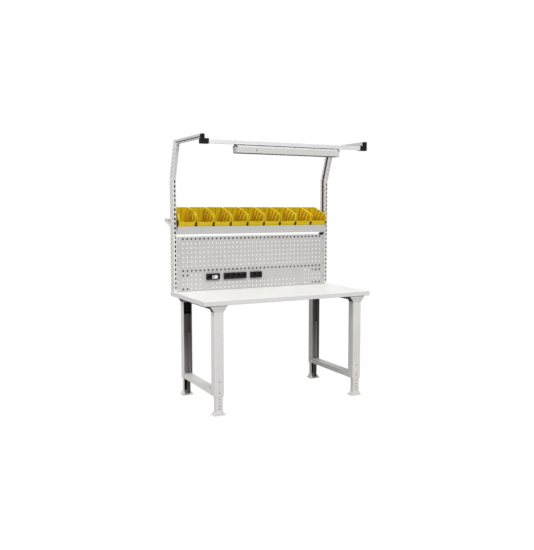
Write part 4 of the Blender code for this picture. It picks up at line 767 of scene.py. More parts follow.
def round_folds(piece, low, high, radius, wall):
    """Rounds the long folds of a channel, outside and inside, about the same middle."""
    for inset, offset in ((0.0, radius), (wall, radius - wall)):
        def on_fold(edge):
            middle = middle_of(edge)
            return (runs_along(edge, Z, FOLD_LENGTH) and edge.calc_face_angle(0.0) > FOLD_ANGLE
                    and all(any(abs(middle[axis] - place) < FOLD_TOLERANCE
                                for place in (low[axis] + inset, high[axis] - inset))
                            for axis in (X, Y))
                    and all(face.calc_area() > FOLD_FACE_AREA for face in edge.link_faces))
        bevel_edges(piece, on_fold, offset, 4)


# %% [markdown]
# ## Top beams
#
# Under the worktop only the beams' flared end plates are light, a little less so than the
# columns: their darker grey is painted shade from the worktop's edge above. Their folded
# troughs, deep in the worktop's shade, show black in the photograph, so they get a nearly
# black paint, which is painted shade.

# %% Beams
for ending in PAIR:
    node = "top_beam" + ending
    piece = soften(merged_copy(node + "_dressed", node), 0.0005)
    # Painted shade: the troughs take the nearly black paint, and the end plates the shelf's
    # darker grey.
    coat(piece, SHADE_DARK_PRIMER, SHELF_PAINT)
    for face in piece.data.polygons:
        face.material_index = int(abs(face.normal.y) > 0.9)
    finish(piece, None, SOLIDS[node]["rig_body"], [node])
print("faces of a beam:", len(piece.data.polygons))

# %% Columns and inner legs
for leg in LEGS:
    for part in FOLD_RADII:
        node = f"{part}_{leg}"
        low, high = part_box(node)
        axis = ((low[0] + high[0]) / 2, (low[1] + high[1]) / 2)
        piece = merged_copy(node + "_dressed", node)
        round_folds(piece, low, high, FOLD_RADII[part], FOLD_WALLS[part])
        soften(piece, 0.0006)
        count = coat_channel(piece, lambda z: axis)
        finish(piece, None, SOLIDS[node]["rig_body"], [node])
print("faces with painted shade on the last leg:", count)

# %% [markdown]
# ## Uprights
#
# Besides the slots for hooks, each upright has small round holes at the slots' pitch:
# two staggered rows up its web and one row in each inner lip, up to its very end. They
# are cut with rods, which are joined first so that one boolean does them all.

# %% Upright holes
SLOT_PITCH = 0.038
UPRIGHT_LEAN = math.radians(20.0)
BEND_HEIGHT = 1.821
LEAN_LENGTH = 0.294           # of the part above the bend
HEAD_GAP, FOOT_GAP = 0.030, 0.020  # without holes at the ends
BEND_GAP = 0.012              # without holes in the rear half of the channel
CHANNEL_MIDDLE = 0.04         # from the front flange
LIP_HOLE_RADIUS = 0.0045
WEB_HOLE_RADIUS = 0.0065
FLANGE_HOLE_RADIUS = 0.0042
LIP_HOLE_DEPTHS = (0.013, 0.067)      # from the front flange, one in each lip
WEB_HOLE_DEPTHS = (0.026, 0.054)
CUT_OUT, CUT_IN = 0.003, 0.004        # how far a rod stands out of the sheet
OUTER_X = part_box("upright_right")[1][0]
INNER_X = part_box("upright_right")[0][0]
FRONT_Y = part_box("upper_panel")[0][1] - 0.001
UPRIGHT_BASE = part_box("upright_right")[0][2]


def on_upright(depth, along):
    """Y and Z of a point at a depth behind the front flange, a length up from the bend."""
    if along <= 0.0:
        return FRONT_Y + depth, BEND_HEIGHT + along
    return (FRONT_Y - along * math.sin(UPRIGHT_LEAN) + depth * math.cos(UPRIGHT_LEAN),
            BEND_HEIGHT + along * math.cos(UPRIGHT_LEAN) + depth * math.sin(UPRIGHT_LEAN))


def hole_rods(side, depths, radius, reach, shift):
    """Rods through a lip or the web; each row starts one shift lower than the last."""
    rods = []
    for row, depth in enumerate(depths):
        along = LEAN_LENGTH - HEAD_GAP - shift * (row + 1)
        while BEND_HEIGHT + along > UPRIGHT_BASE + FOOT_GAP:
            if abs(along) > BEND_GAP or depth < CHANNEL_MIDDLE:
                y, z = on_upright(depth, along)
                rods.append(add_rod("rod", (side * reach[0], y, z), (side * reach[1], y, z),
                                    radius, 8))
            along -= SLOT_PITCH
    return rods


def flange_rods(x):
    """Rods through the front flange above the bend."""
    rods = []
    along = HEAD_GAP
    while along < LEAN_LENGTH - FOOT_GAP:
        start, end = (on_upright(depth, along) for depth in (-CUT_OUT, CUT_OUT))
        rods.append(add_rod("rod", (x, *start), (x, *end), FLANGE_HOLE_RADIUS, 8))
        along += SLOT_PITCH
    return rods


# %% Cut uprights
for side_name, side in SIDES.items():
    node = f"upright_{side_name}"
    piece = merged_copy(node + "_dressed", node)
    middle_x = side * (INNER_X + OUTER_X) / 2
    rods = [*hole_rods(side, LIP_HOLE_DEPTHS, LIP_HOLE_RADIUS,
                       (INNER_X - CUT_OUT, INNER_X + CUT_IN), SLOT_PITCH),
            *hole_rods(side, WEB_HOLE_DEPTHS, WEB_HOLE_RADIUS,
                       (OUTER_X - CUT_IN, OUTER_X + CUT_OUT), SLOT_PITCH / 2),
            *flange_rods(middle_x)]
    print(side_name, "holes:", len(rods))
    cut(piece, join_all(rods, "hole_rods"))
    coat_channel(piece, lambda z: (middle_x, on_upright(CHANNEL_MIDDLE, z - BEND_HEIGHT)[0]))
    smooth(piece, 30.0)
    finish(piece, None, "bench_frame", [node])

# %% [markdown]
# ## Bins
#
# Each bin is one injection moulding: a box without a lid whose front top edge is round,
# with a low front wall, a rolled rim, three leaning ribs on each side, which stiffen
# the walls and hold dividers, and one rib on the back wall. One bin is modelled lying
# level at the origin: a box is bevelled, bisected at the height of the low wall, opened
# and given its wall. Each of the nine bins is a copy of it, tilted with the shelf.

# %% Bin sizes
SHELF_TILT = math.radians(18.0)
LIP_FOOT_Y, LIP_FOOT_Z = FRONT_Y - 0.010, 1.388
BIN_COUNT = 9
BIN_PITCH = 0.1586
BIN_SIZE = (0.150, 0.215, 0.135)
BIN_WALL = 0.0022
BIN_FRONT_HEIGHT = 0.0745
BIN_CORNER, BIN_EDGE = 0.030, 0.005   # rounds of the front's top edge and of the base
BIN_FRONT = 0.0082            # depth of the bins' fronts behind the lip's face
BIN_FLOOR = 0.0035            # height of their floors over the shelf's plane
RECESS_MARGIN, RECESS_DEPTH = 0.010, 0.0007
RIM_RADIUS = 0.0030
RIB_THICKNESS, RIB_REACH = 0.0100, 0.0130
RIB_DEPTHS = (0.066, 0.118, 0.170)
RIB_LEAN = 0.020              # how far their feet go back, and their heads forward
RIB_DROP = 0.006              # from the bin's top to theirs
RIB_ROUND = 0.8               # share of a rib's reach that its head is rounded
BACK_RIB_X, BACK_RIB_REACH = 0.020, 0.0050
width, depth, height = BIN_SIZE
half = width / 2

# %% Bin shell
shell = add_block("bin_shell", (-half, half), (0.0, depth), (0.0, height))
bevel_edges(shell, lambda e: middle_of(e).y < NEAR and middle_of(e).z > height - NEAR
            and runs_along(e, X), BIN_CORNER, 8)
pick(shell, 'EDGE', lambda e: e.calc_face_angle(0.0) > FOLD_ANGLE
     and (middle_of(e).z < NEAR or middle_of(e).y > depth - NEAR)
     and middle_of(e).z < height - NEAR)
bpy.ops.mesh.bevel(offset=BIN_EDGE, segments=3)
bpy.ops.mesh.select_all(action='SELECT')
bpy.ops.mesh.bisect(plane_co=(0.0, 0.0, BIN_FRONT_HEIGHT), plane_no=(0.0, 0.0, 1.0))
leave_edit()
opened = pick(shell, 'FACE', lambda f: abs(f.normal.x) < 0.1 and f.normal.y < 0.5
              and middle_of(f).z > BIN_FRONT_HEIGHT
              and (f.normal.z > 0.01 or middle_of(f).y < NEAR))
bpy.ops.mesh.delete(type='FACE')
leave_edit()
print("faces opened:", opened)

# %% Rolled rim
pick(shell, 'EDGE', lambda e: e.is_boundary)
bpy.ops.mesh.duplicate()
bpy.ops.mesh.separate(type='SELECTED')
leave_edit()
rim = next(p for p in bpy.context.selected_objects if p != shell)
select_only(rim)
bpy.ops.object.convert(target='CURVE')
rim.data.bevel_depth = RIM_RADIUS
rim.data.bevel_resolution = 2
bpy.ops.object.convert(target='MESH')
rim.scale = ((half - RIM_RADIUS / 2) / half, 1.0, 1.0)
settle(rim)
print("rim faces:", len(rim.data.polygons))

# %% Bin wall and front recess
apply_modifier(shell, 'SOLIDIFY', thickness=BIN_WALL, offset=-1.0, use_even_offset=True)
pick(shell, 'FACE', lambda f: f.normal.y < -0.99 and middle_of(f).y < NEAR
     and f.calc_area() > 0.003)
bpy.ops.mesh.inset(thickness=RECESS_MARGIN, depth=0.0)
bpy.ops.transform.translate(value=(0.0, RECESS_DEPTH, 0.0))
leave_edit()
print("shell faces:", len(shell.data.polygons))

# %% Ribs
def add_rib(x, y, side, reach, stands_out):
    """A rib on a wall, rounded at the head of the side that stands out of it."""
    rib = add_block("rib", x, y, (BIN_WALL / 2, height - RIB_DROP), side)
    bevel_edges(rib, lambda e: middle_of(e).z > height - RIB_DROP - NEAR
                and stands_out(middle_of(e)), RIB_ROUND * reach, 2)
    return rib


side_ribs = []
for side in SIDES.values():
    for rib_depth in RIB_DEPTHS:
        rib = add_rib((half - BIN_WALL / 2, half - BIN_WALL - RIB_REACH),
                      around(rib_depth, RIB_THICKNESS), side, RIB_REACH,
                      lambda middle: abs(middle.x) < half - RIB_REACH)
        pick(rib, 'VERT', lambda v: v.co.z < height / 2)
        bpy.ops.transform.translate(value=(0.0, 2 * RIB_LEAN, 0.0))
        leave_edit()
        rib.location.y = -RIB_LEAN
        side_ribs.append(settle(rib))
back_rib = add_rib(around(BACK_RIB_X, RIB_THICKNESS),
                   (depth - BIN_WALL - BACK_RIB_REACH, depth - BIN_WALL / 2), 1,
                   BACK_RIB_REACH, lambda middle: middle.y < depth - BACK_RIB_REACH)
print("ribs in a bin:", len(side_ribs) + 1)

# %% Plastics of a bin
# Painted light: the rims and side ribs are paler. Painted shade: the back rib and the shell's
# inner faces are darker.
for part in (*side_ribs, rim):
    coat(part, LIT_RIM_PLASTIC)
coat(back_rib, GRAINED_SHADED_PLASTIC)
coat(shell, BIN_PLASTIC, GRAINED_SHADED_PLASTIC)
for face in shell.data.polygons:
    side_inside = face.normal.x * face.center.x < -0.004
    floor_inside = face.normal.z > 0.9 and face.center.z < height / 4
    face.material_index = int(side_inside or floor_inside)
print("faces inside:", sum(face.material_index for face in shell.data.polygons))
master_bin = join_all([*side_ribs, back_rib, rim, shell], "bin_master")
soften(master_bin, 0.0006, 2, 50.0)
print("bin faces:", len(master_bin.data.polygons))

# %% Nine tilted bins
def tilt_onto_shelf(piece):
    piece.rotation_euler = (SHELF_TILT, 0.0, 0.0)
    piece.location = (0.0, LIP_FOOT_Y, LIP_FOOT_Z)
    return settle(piece)


for index in range(BIN_COUNT):
    name = f"bin_{index + 1}"
    x = (index - (BIN_COUNT - 1) / 2) * BIN_PITCH
    piece = copy_of(master_bin, name + "_moulded", (x, BIN_FRONT, BIN_FLOOR))
    finish(tilt_onto_shelf(piece), None, name, [name])
bpy.data.objects.remove(master_bin)
low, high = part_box("bin_1")
print("first bin from", [round(v, 4) for v in low], "to", [round(v, 4) for v in high])

# %% [markdown]
# ## Dark strips behind the panels
#
# The top and bottom rows of holes in the upper panel look black in the photograph, where shade
# falls behind them, so a black strip of painted shade lies behind them, against the panel's
# folded returns. Each is a flat strip with rounded edges on the back of the sheet.

# %% Black strips of painted shade
PANEL_LOW, PANEL_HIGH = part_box("upper_panel")
SHADE_STRIP_THICKNESS, SHADE_STRIP_HEIGHT = 0.003, 0.026
SHADE_STRIP_MARGIN = 0.002
PANEL_SHEET = 0.0015
for name, base in (("upper_seal", PANEL_HIGH[2] - SHADE_STRIP_MARGIN - SHADE_STRIP_HEIGHT),
                   ("lower_seal", PANEL_LOW[2] + SHADE_STRIP_MARGIN)):
    face = PANEL_LOW[1] + PANEL_SHEET + FIT_GAP
    shade_strip = add_block(name, (PANEL_LOW[0] + SHADE_STRIP_MARGIN, PANEL_HIGH[0] - SHADE_STRIP_MARGIN),
                     (face, face + SHADE_STRIP_THICKNESS), (base, base + SHADE_STRIP_HEIGHT))
    finish(soften(shade_strip, 0.0008), SHADE_BLACK_FOAM, "bench_frame")
print("seal height:", SHADE_STRIP_HEIGHT)

# %% [markdown]
# ## Edge frames of the black holes
#
# In the photograph the holes in the upper panel's top and bottom rows look larger and blacker
# than the others, as do a few at the ends of the lower panel. Each has a thin black frame of
# painted shade round its edge, which makes it look larger and blacker. One frame is a block
# with a square opening, and the rest are its copies.

# %% Hole frames
HOLE_PITCH, PANEL_COLUMNS, PANEL_ROWS = 0.038, 36, 8
HOLE_FRAME, HOLE_OPENING, FRAME_PROUD, FRAME_GAP = 0.0130, 0.0086, 0.0007, 0.0001
CUT_REACH = 0.010             # of a cutter, before and behind what it opens
LOWER_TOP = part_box("lower_panel")[1][2]
END_COLUMNS = (1, 2, PANEL_COLUMNS - 2, PANEL_COLUMNS - 1, PANEL_COLUMNS)
frame_cells = [(column, PANEL_HIGH[2], row) for row in (1, PANEL_ROWS)
               for column in range(1, PANEL_COLUMNS + 1)]
frame_cells += [(column, LOWER_TOP, row) for row in (1, 4) for column in END_COLUMNS]
outline, opening = around(0.0, HOLE_FRAME), around(0.0, HOLE_OPENING)
hole_frame = add_block("hole_frame", outline, (-FRAME_PROUD, -FRAME_GAP), outline)
cut(hole_frame, add_block("opening", opening, (-CUT_REACH, CUT_REACH), opening))
copies = []
for column, top, row in frame_cells:
    x, z = (column - (PANEL_COLUMNS + 1) / 2) * HOLE_PITCH, top - (row - 0.5) * HOLE_PITCH
    copies.append(copy_of(hole_frame, "frame", (x, PANEL_LOW[1], z)))
bpy.data.objects.remove(hole_frame)
# Painted shade round the holes.
finish(join_all(copies, "hole_frames"), SHADE_BLACK_FOAM, "bench_frame")
print("hole frames:", len(frame_cells))

# %% [markdown]
# ## Power strips
#
# The strips are black mouldings with round recesses for plugs. Their solids have the
# recesses and pin holes. Each recess gets a raised bead round its edge and two sprung
# earth contacts, at right angles to the pins.

# %% Strip bodies
for node in ("switch_housing", "socket_strip_four", "socket_strip_two"):
    dress_solid(node, BLACK_PLASTIC, 0.0010)
strip_low, strip_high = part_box("socket_strip_four")
STRIP_FRONT = strip_low[1]
STRIP_MIDDLE_Z = (strip_low[2] + strip_high[2]) / 2
print("front of the strips:", round(STRIP_FRONT, 4))

# %% One socket's rim and contacts
SOCKET_RADIUS, SOCKET_RECESS = 0.019, 0.015
SOCKET_BEAD, BEAD_CLEARANCE = 0.0009, 0.0008
CONTACT_PLACE, CONTACT_FRONT = 0.0165, 0.002
CONTACT_THICKNESS, CONTACT_WIDTH = 0.0024, 0.0070
PIN_TURN = math.radians(45.0)
bpy.ops.object.select_all(action='DESELECT')
bpy.ops.mesh.primitive_torus_add(major_radius=SOCKET_RADIUS + BEAD_CLEARANCE,
                                 minor_radius=SOCKET_BEAD, major_segments=40,
                                 minor_segments=8, rotation=(math.pi / 2, 0.0, 0.0))
socket_rim = smooth(settle(bpy.context.object))
contact_parts = []
for side in SIDES.values():
    clip = add_block("contact", around(side * CONTACT_PLACE, CONTACT_THICKNESS),
                     (CONTACT_FRONT, SOCKET_RECESS), around(0.0, CONTACT_WIDTH))
    bevel_edges(clip, lambda e: middle_of(e).y < CONTACT_FRONT + NEAR and runs_along(e, Z),
                0.001, 2)
    contact_parts.append(clip)
contacts = join_all(contact_parts, "contacts")
contacts.rotation_euler = (0.0, PIN_TURN, 0.0)
smooth(settle(contacts))
print("faces of two contacts:", len(contacts.data.polygons))

# %% All sockets
SOCKETS = {"socket_strip_four": 4, "socket_strip_two": 2}
SOCKET_PITCH = 0.050
for node, count in SOCKETS.items():
    low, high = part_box(node)
    centres = [((low[0] + high[0]) / 2 + (index - (count - 1) / 2) * SOCKET_PITCH,
                STRIP_FRONT, STRIP_MIDDLE_Z) for index in range(count)]
    for master, ending, material, slot_name in (
            (socket_rim, "_rims", BLACK_PLASTIC, "black_plastic"),
            (contacts, "_contacts", DULL_NICKEL, "zinc")):
        copies = [copy_of(master, "copy", centre) for centre in centres]
        finish(join_all(copies, node + ending), material, "bench_frame")
    print(node, "sockets:", count)
bpy.data.objects.remove(socket_rim)
bpy.data.objects.remove(contacts)

# %% [markdown]
# ### Switch module
#
# The switch housing has four ridges on its left part, where one grips it. Round the
# white plate runs a black bezel. It is a block with a window and, from behind, a seat
# for the plate, so that its lips lie a little over the plate's edges.

# %% Ridges on the switch housing
HOUSING_LOW, HOUSING_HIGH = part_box("switch_housing")
RIDGE_COUNT, RIDGE_WIDTH, RIDGE_PITCH = 4, 0.0018, 0.0026
RIDGE_MARGIN, RIDGE_INSET, RIDGE_DEPTH = 0.0045, 0.006, 0.002
ridges = []
for index in range(RIDGE_COUNT):
    x = HOUSING_LOW[0] + RIDGE_MARGIN + index * RIDGE_PITCH
    ridges.append(add_block("ridge", (x, x + RIDGE_WIDTH), around(STRIP_FRONT, RIDGE_DEPTH),
                            (HOUSING_LOW[2] + RIDGE_INSET, HOUSING_HIGH[2] - RIDGE_INSET)))
ridges = soften(join_all(ridges, "switch_ridges"), 0.0004)
finish(ridges, BLACK_PLASTIC, "bench_frame")
print("ridges:", RIDGE_COUNT)

# %% Bezel of the switch plate
PLATE_LOW, PLATE_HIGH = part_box("switch_plate")
BEZEL_CLEARANCE, BEZEL_THICKNESS, BEZEL_WALL = 0.0003, 0.0014, 0.0016
BEZEL_LIPS = {"left": 0.0008, "right": 0.0042, "bottom": 0.0008, "top": 0.0050}
lip_back = PLATE_LOW[1] - BEZEL_CLEARANCE
outer_x, outer_z = ((PLATE_LOW[axis] - BEZEL_CLEARANCE - BEZEL_WALL,
                     PLATE_HIGH[axis] + BEZEL_CLEARANCE + BEZEL_WALL) for axis in (X, Z))
seat_x, seat_z = ((low + BEZEL_WALL, high - BEZEL_WALL) for low, high in (outer_x, outer_z))
bezel = add_block("switch_bezel", outer_x,
                  (lip_back - BEZEL_THICKNESS, STRIP_FRONT - FIT_GAP), outer_z)
cut(bezel, add_block("bezel_window",
                     (PLATE_LOW[0] + BEZEL_LIPS["left"], PLATE_HIGH[0] - BEZEL_LIPS["right"]),
                     (lip_back - CUT_REACH, lip_back + CUT_REACH),
                     (PLATE_LOW[2] + BEZEL_LIPS["bottom"], PLATE_HIGH[2] - BEZEL_LIPS["top"])))
cut(bezel, add_block("bezel_seat", seat_x, (lip_back, lip_back + CUT_REACH), seat_z))
finish(soften(bezel, 0.0003), BLACK_PLASTIC, "bench_frame")
print("bezel faces:", len(bezel.data.polygons))

# %% [markdown]
# ## Guides between the bins
#
# Between neighbouring bins the photograph shows a dark brown slit. A guide stands on the shelf
# there and keeps the bins in line; its dark brown is painted shade, warmed by the bins'
# yellow. Its front is a wider flange before the bins' fronts. It is no higher than their front
# walls and touches none of them, so that every bin lifts out freely. A thin cheek stands
# beside each outer bin.

# %% Bin guides
GUIDE_THICKNESS, GUIDE_HEIGHT = 0.0064, 0.070
GUIDE_START, GUIDE_END = 0.0015, 0.010    # from the bins' front and from their back
FLANGE_WIDTH, FLANGE_THICKNESS, FLANGE_HEIGHT = 0.0160, 0.0016, 0.0745
FLANGE_FRONT = BIN_FRONT - 0.0024
CHEEK_X = (0.7126, 0.7152)
CHEEK_DEPTH, CHEEK_HEIGHT = 0.070, 0.092
guide_base = BIN_FLOOR + FIT_GAP
guides = []
for index in range(BIN_COUNT - 1):
    x = (index - (BIN_COUNT - 2) / 2) * BIN_PITCH
    guide = add_block("guide", around(x, GUIDE_THICKNESS),
                      (BIN_FRONT + GUIDE_START, BIN_FRONT + depth - GUIDE_END),
                      (guide_base, GUIDE_HEIGHT))
    bevel_edges(guide, lambda e: middle_of(e).z > GUIDE_HEIGHT - NEAR and runs_along(e, X),
                0.008, 4)
    flange = add_block("flange", around(x, FLANGE_WIDTH),
                       (FLANGE_FRONT, FLANGE_FRONT + FLANGE_THICKNESS),
                       (guide_base, FLANGE_HEIGHT))
    bevel_edges(flange, lambda e: middle_of(e).z > FLANGE_HEIGHT - NEAR and runs_along(e, Y),
                0.0012, 2)
    guides += [guide, flange]
for side in SIDES.values():
    cheek = add_block("cheek", CHEEK_X, (FLANGE_FRONT, BIN_FRONT + CHEEK_DEPTH),
                      (guide_base, CHEEK_HEIGHT), side)
    bevel_edges(cheek, lambda e: middle_of(e).z > CHEEK_HEIGHT - NEAR and runs_along(e, X),
                0.012, 4)
    guides.append(cheek)
guides = tilt_onto_shelf(soften(join_all(guides, "bin_guides"), 0.0005))
# Painted shade: the guides' warm dark brown.
finish(guides, SHADE_BROWN_NYLON, "shelf")
print("guides:", BIN_COUNT - 1)

# %% [markdown]
# ## Leg details
#
# The front of each inner leg shows a row of dark holes, so a black strip of painted shade lies
# behind them. At the top of the rear columns a black insert fills the channel, a light strip
# of painted light lies on one flange of each rear inner leg, over its painted shade, and the
# rear feet are open where their channels are.

# %% Strips of painted shade behind the holes
INNER_WALL = FOLD_WALLS["inner_leg"]
HOLE_SHADE_WIDTH, HOLE_SHADE_THICKNESS = 0.024, 0.0020
HOLE_SHADE_Z = (0.034, 0.152)
# Black strips of painted shade behind the inner legs' holes.
for leg in LEGS:
    low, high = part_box("inner_leg_" + leg)
    middle = (low[0] + high[0]) / 2
    face = low[1] + INNER_WALL + FIT_GAP
    if leg.startswith("rear"):
        face = high[1] - INNER_WALL - FIT_GAP - HOLE_SHADE_THICKNESS
    strip = add_block("glide_strip_" + leg, around(middle, HOLE_SHADE_WIDTH),
                      (face, face + HOLE_SHADE_THICKNESS), HOLE_SHADE_Z)
    finish(soften(strip, 0.0006), BLACK_NYLON, "leg_" + leg)
print("glide strips:", len(LEGS))

# %% Strips of painted light and open feet at the rear
LIT_STRIP_THICKNESS, LIT_STRIP_INSET, LIT_STRIP_Z = 0.0012, 0.001, (0.190, 0.530)
MOUTH_REACH, MOUTH_Z = 0.040, (0.0055, 0.040)   # from the foot's plate to its top
for side_name in SIDES:
    leg = "rear_" + side_name
    low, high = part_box("inner_leg_" + leg)
    face = high[0] - INNER_WALL - FIT_GAP
    back = high[1] - 2 * INNER_WALL
    # A strip in the frame's paint over the painted shade: painted light where light reaches
    # the flange.
    lit_strip = add_block("flange_liner_" + leg, (face - LIT_STRIP_THICKNESS, face),
                      (low[1] + LIT_STRIP_INSET, back), LIT_STRIP_Z)
    finish(soften(lit_strip, 0.0004), FRAME_PAINT, "leg_" + leg)
    foot = bpy.data.objects["foot_" + leg + "_dressed"]
    cut(foot, add_block("foot_mouth", (low[0] + INNER_WALL, high[0] - INNER_WALL),
                        (low[1] - MOUTH_REACH, back), MOUTH_Z))
    smooth(foot, SMOOTH_ANGLE)
print("faces of a rear foot:", len(foot.data.polygons))

# %% Inserts in the rear columns
COLUMN_WALL = FOLD_WALLS["leg_column"]
INSERT_HEIGHT = {"left": 0.100, "right": 0.058}
INSERT_GAP, INSERT_SETBACK, INSERT_DROP = COLUMN_WALL + 0.0003, 0.010, 0.002
INSERT_FRAME, INSERT_SLOPE, INSERT_HOLLOW = 0.004, 0.003, 0.014
for side_name, insert_height in INSERT_HEIGHT.items():
    low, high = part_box("leg_column_rear_" + side_name)
    top = high[2] - INSERT_DROP
    insert = add_block("column_insert_" + side_name,
                       (low[0] + INSERT_GAP, high[0] - INSERT_GAP),
                       (low[1] + INSERT_SETBACK, high[1] - INSERT_GAP),
                       (top - insert_height, top))
    pick(insert, 'FACE', lambda f: f.normal.y < -0.9)
    bpy.ops.mesh.inset(thickness=INSERT_FRAME, depth=0.0)
    bpy.ops.mesh.inset(thickness=INSERT_SLOPE, depth=-INSERT_HOLLOW)
    leave_edit()
    finish(soften(insert, 0.0008), BLACK_NYLON, "bench_frame")
print("inserts:", len(INSERT_HEIGHT))

# %% [markdown]
# ## Screws
#
# The frame is held by pan-head screws with a hexagon socket, and two rivets beside each
# clamp bolt hold its captive nut. One head is modelled per size, by insetting the top
# of a rod twice and pushing the middle in. It is then copied, turned and set on its
# place. All heads of one body and size are one piece.

# %% Screw heads
HEAD_ROUND, SOCKET_SINK = 0.4, 0.6      # shares of a head's height
SOCKET_WALL, SOCKET_SLOPE = 0.30, 0.08  # shares of its radius
HEAD_SUNK = 0.0004


def screw_master(radius, height):
    head = add_rod("screw_master", (0.0, 0.0, -HEAD_SUNK), (0.0, 0.0, height), radius, 18)
    pick(head, 'FACE', lambda f: f.normal.z > 0.9 and middle_of(f).length < height + NEAR)
    bpy.ops.mesh.bevel(offset=height * HEAD_ROUND, segments=2, affect='EDGES')
    leave_edit()
    pick(head, 'FACE', lambda f: f.normal.z > 0.9 and len(f.verts) > 8)
    bpy.ops.mesh.inset(thickness=radius * SOCKET_WALL, depth=0.0)
    bpy.ops.mesh.inset(thickness=radius * SOCKET_SLOPE, depth=-height * SOCKET_SINK)
    leave_edit()
    return smooth(head)


def set_screws(name, places, radius, height, body, material=ZINC):
    """One piece of screw heads; places are points with the way they face."""
    master = screw_master(radius, height)
    heads = [copy_of(master, "head", point, facing) for point, facing in places]
    bpy.data.objects.remove(master)
    finish(join_all(heads, name), material, body)
    print(name, "heads:", len(places))


# %% Screws of the leg frames
LEG_X = 0.630
GUSSET_SCREW_X, GUSSET_SCREW_Z, GUSSET_PROUD = 0.025, 0.8277, 0.0005
RIVET_X, RIVET_Z, RIVET_SPREAD = -0.025, 0.2665, 0.0085
RAIL_SCREW_DEPTH, RAIL_SCREW_Z = 0.0640, 0.1670
COLUMN_SCREW_DEPTH, COLUMN_SCREW_Z = 0.022, 0.777
TOP_SCREW_X, TOP_SCREW_Z = 0.066, 0.8476
TOP_SCREW_ROWS = (-0.380, -0.200, -0.010, 0.160)
gusset_screws, rail_screws, rivets, top_screws, column_screws = [], [], [], [], []
for side_name, side in SIDES.items():
    leg_x = side * LEG_X
    for leg_end, facing in (("front", -1), ("rear", 1)):
        low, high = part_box(f"leg_column_{leg_end}_{side_name}")
        web = low[1] if facing < 0 else high[1]
        for way in (-1, 1):
            gusset_screws.append(((leg_x + way * GUSSET_SCREW_X, web - facing * GUSSET_PROUD,
                                   GUSSET_SCREW_Z), (0, facing, 0)))
            rivets.append(((leg_x + RIVET_X, web, RIVET_Z + way * RIVET_SPREAD),
                           (0, facing, 0)))
            column_side = low[0] if way < 0 else high[0]
            rail_screws.append(((column_side, web - facing * RAIL_SCREW_DEPTH, RAIL_SCREW_Z),
                                (way, 0, 0)))
            if facing < 0:
                column_screws.append(((column_side, web + COLUMN_SCREW_DEPTH, COLUMN_SCREW_Z),
                                      (way, 0, 0)))
    top_screws += [((leg_x + way * TOP_SCREW_X, y, TOP_SCREW_Z), (0, 0, -1))
                   for way in (-1, 1) for y in TOP_SCREW_ROWS]
set_screws("gusset_screws", gusset_screws, 0.0070, 0.0030, "bench_frame")
set_screws("rail_screws", rail_screws, 0.0065, 0.0036, "bench_frame")
set_screws("column_screws", column_screws, 0.0050, 0.0028, "bench_frame")
set_screws("nut_rivets", rivets, 0.0030, 0.0012, "bench_frame", FRAME_PAINT)
set_screws("worktop_screws", top_screws, 0.0045, 0.0024, "bench_frame")

# %% Screws of the arms
ARM_SCREW_Y, ARM_SCREW_Z = (0.1159, 0.1389), 2.1115
arm_screws = [((side * OUTER_X, y, ARM_SCREW_Z), (side, 0, 0))
              for side in SIDES.values() for y in ARM_SCREW_Y]
set_screws("arm_screws", arm_screws, 0.0055, 0.0030, "bench_frame")

# %% [markdown]
# ## Clip on the panel
#
# A black spring clip sits on the upper panel's edge near its right end: a flat bar on
# top of the edge, with rounded upper corners, and a short jaw before the sheet.

# %% Edge clip
CLIP_LOW, CLIP_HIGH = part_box("cord_clip")
EDGE_TOP = PANEL_HIGH[2]
CLIP_FIT, CLIP_BAR_TOP = 0.0003, EDGE_TOP + 0.0145
JAW_DROP, JAW_RISE, JAW_INSET, JAW_THICKNESS = 0.007, 0.004, 0.004, 0.0022
clip_bar = add_block("clip_bar", (CLIP_LOW[0], CLIP_HIGH[0]), (CLIP_LOW[1], CLIP_HIGH[1]),
                     (EDGE_TOP + CLIP_FIT, CLIP_BAR_TOP))
bevel_edges(clip_bar, lambda e: middle_of(e).z > CLIP_BAR_TOP - NEAR and runs_along(e, X),
            0.004, 4)
jaw_back = PANEL_LOW[1] - CLIP_FIT
clip_jaw = add_block("clip_jaw", (CLIP_LOW[0] + JAW_INSET, CLIP_HIGH[0] - JAW_INSET),
                     (jaw_back - JAW_THICKNESS, jaw_back),
                     (EDGE_TOP - JAW_DROP, EDGE_TOP + JAW_RISE))
clip = soften(join_all([clip_bar, clip_jaw], "edge_clip"), 0.0006)
finish(clip, BLACK_PLASTIC, "bench_frame", ["cord_clip"])
print("clip faces:", len(clip.data.polygons))

# %% [markdown]
# ## Inside the uprights
#
# Seen through the slots, the right part of each one is black: a black strip of painted shade
# lies against the inside of the front lip. Above and below the shelf the strip is wider than
# the lip. Beside the bins a plate in the dark inside paint, which is painted shade, closes the
# gap between the lips, so that no yellow shows through the slots.

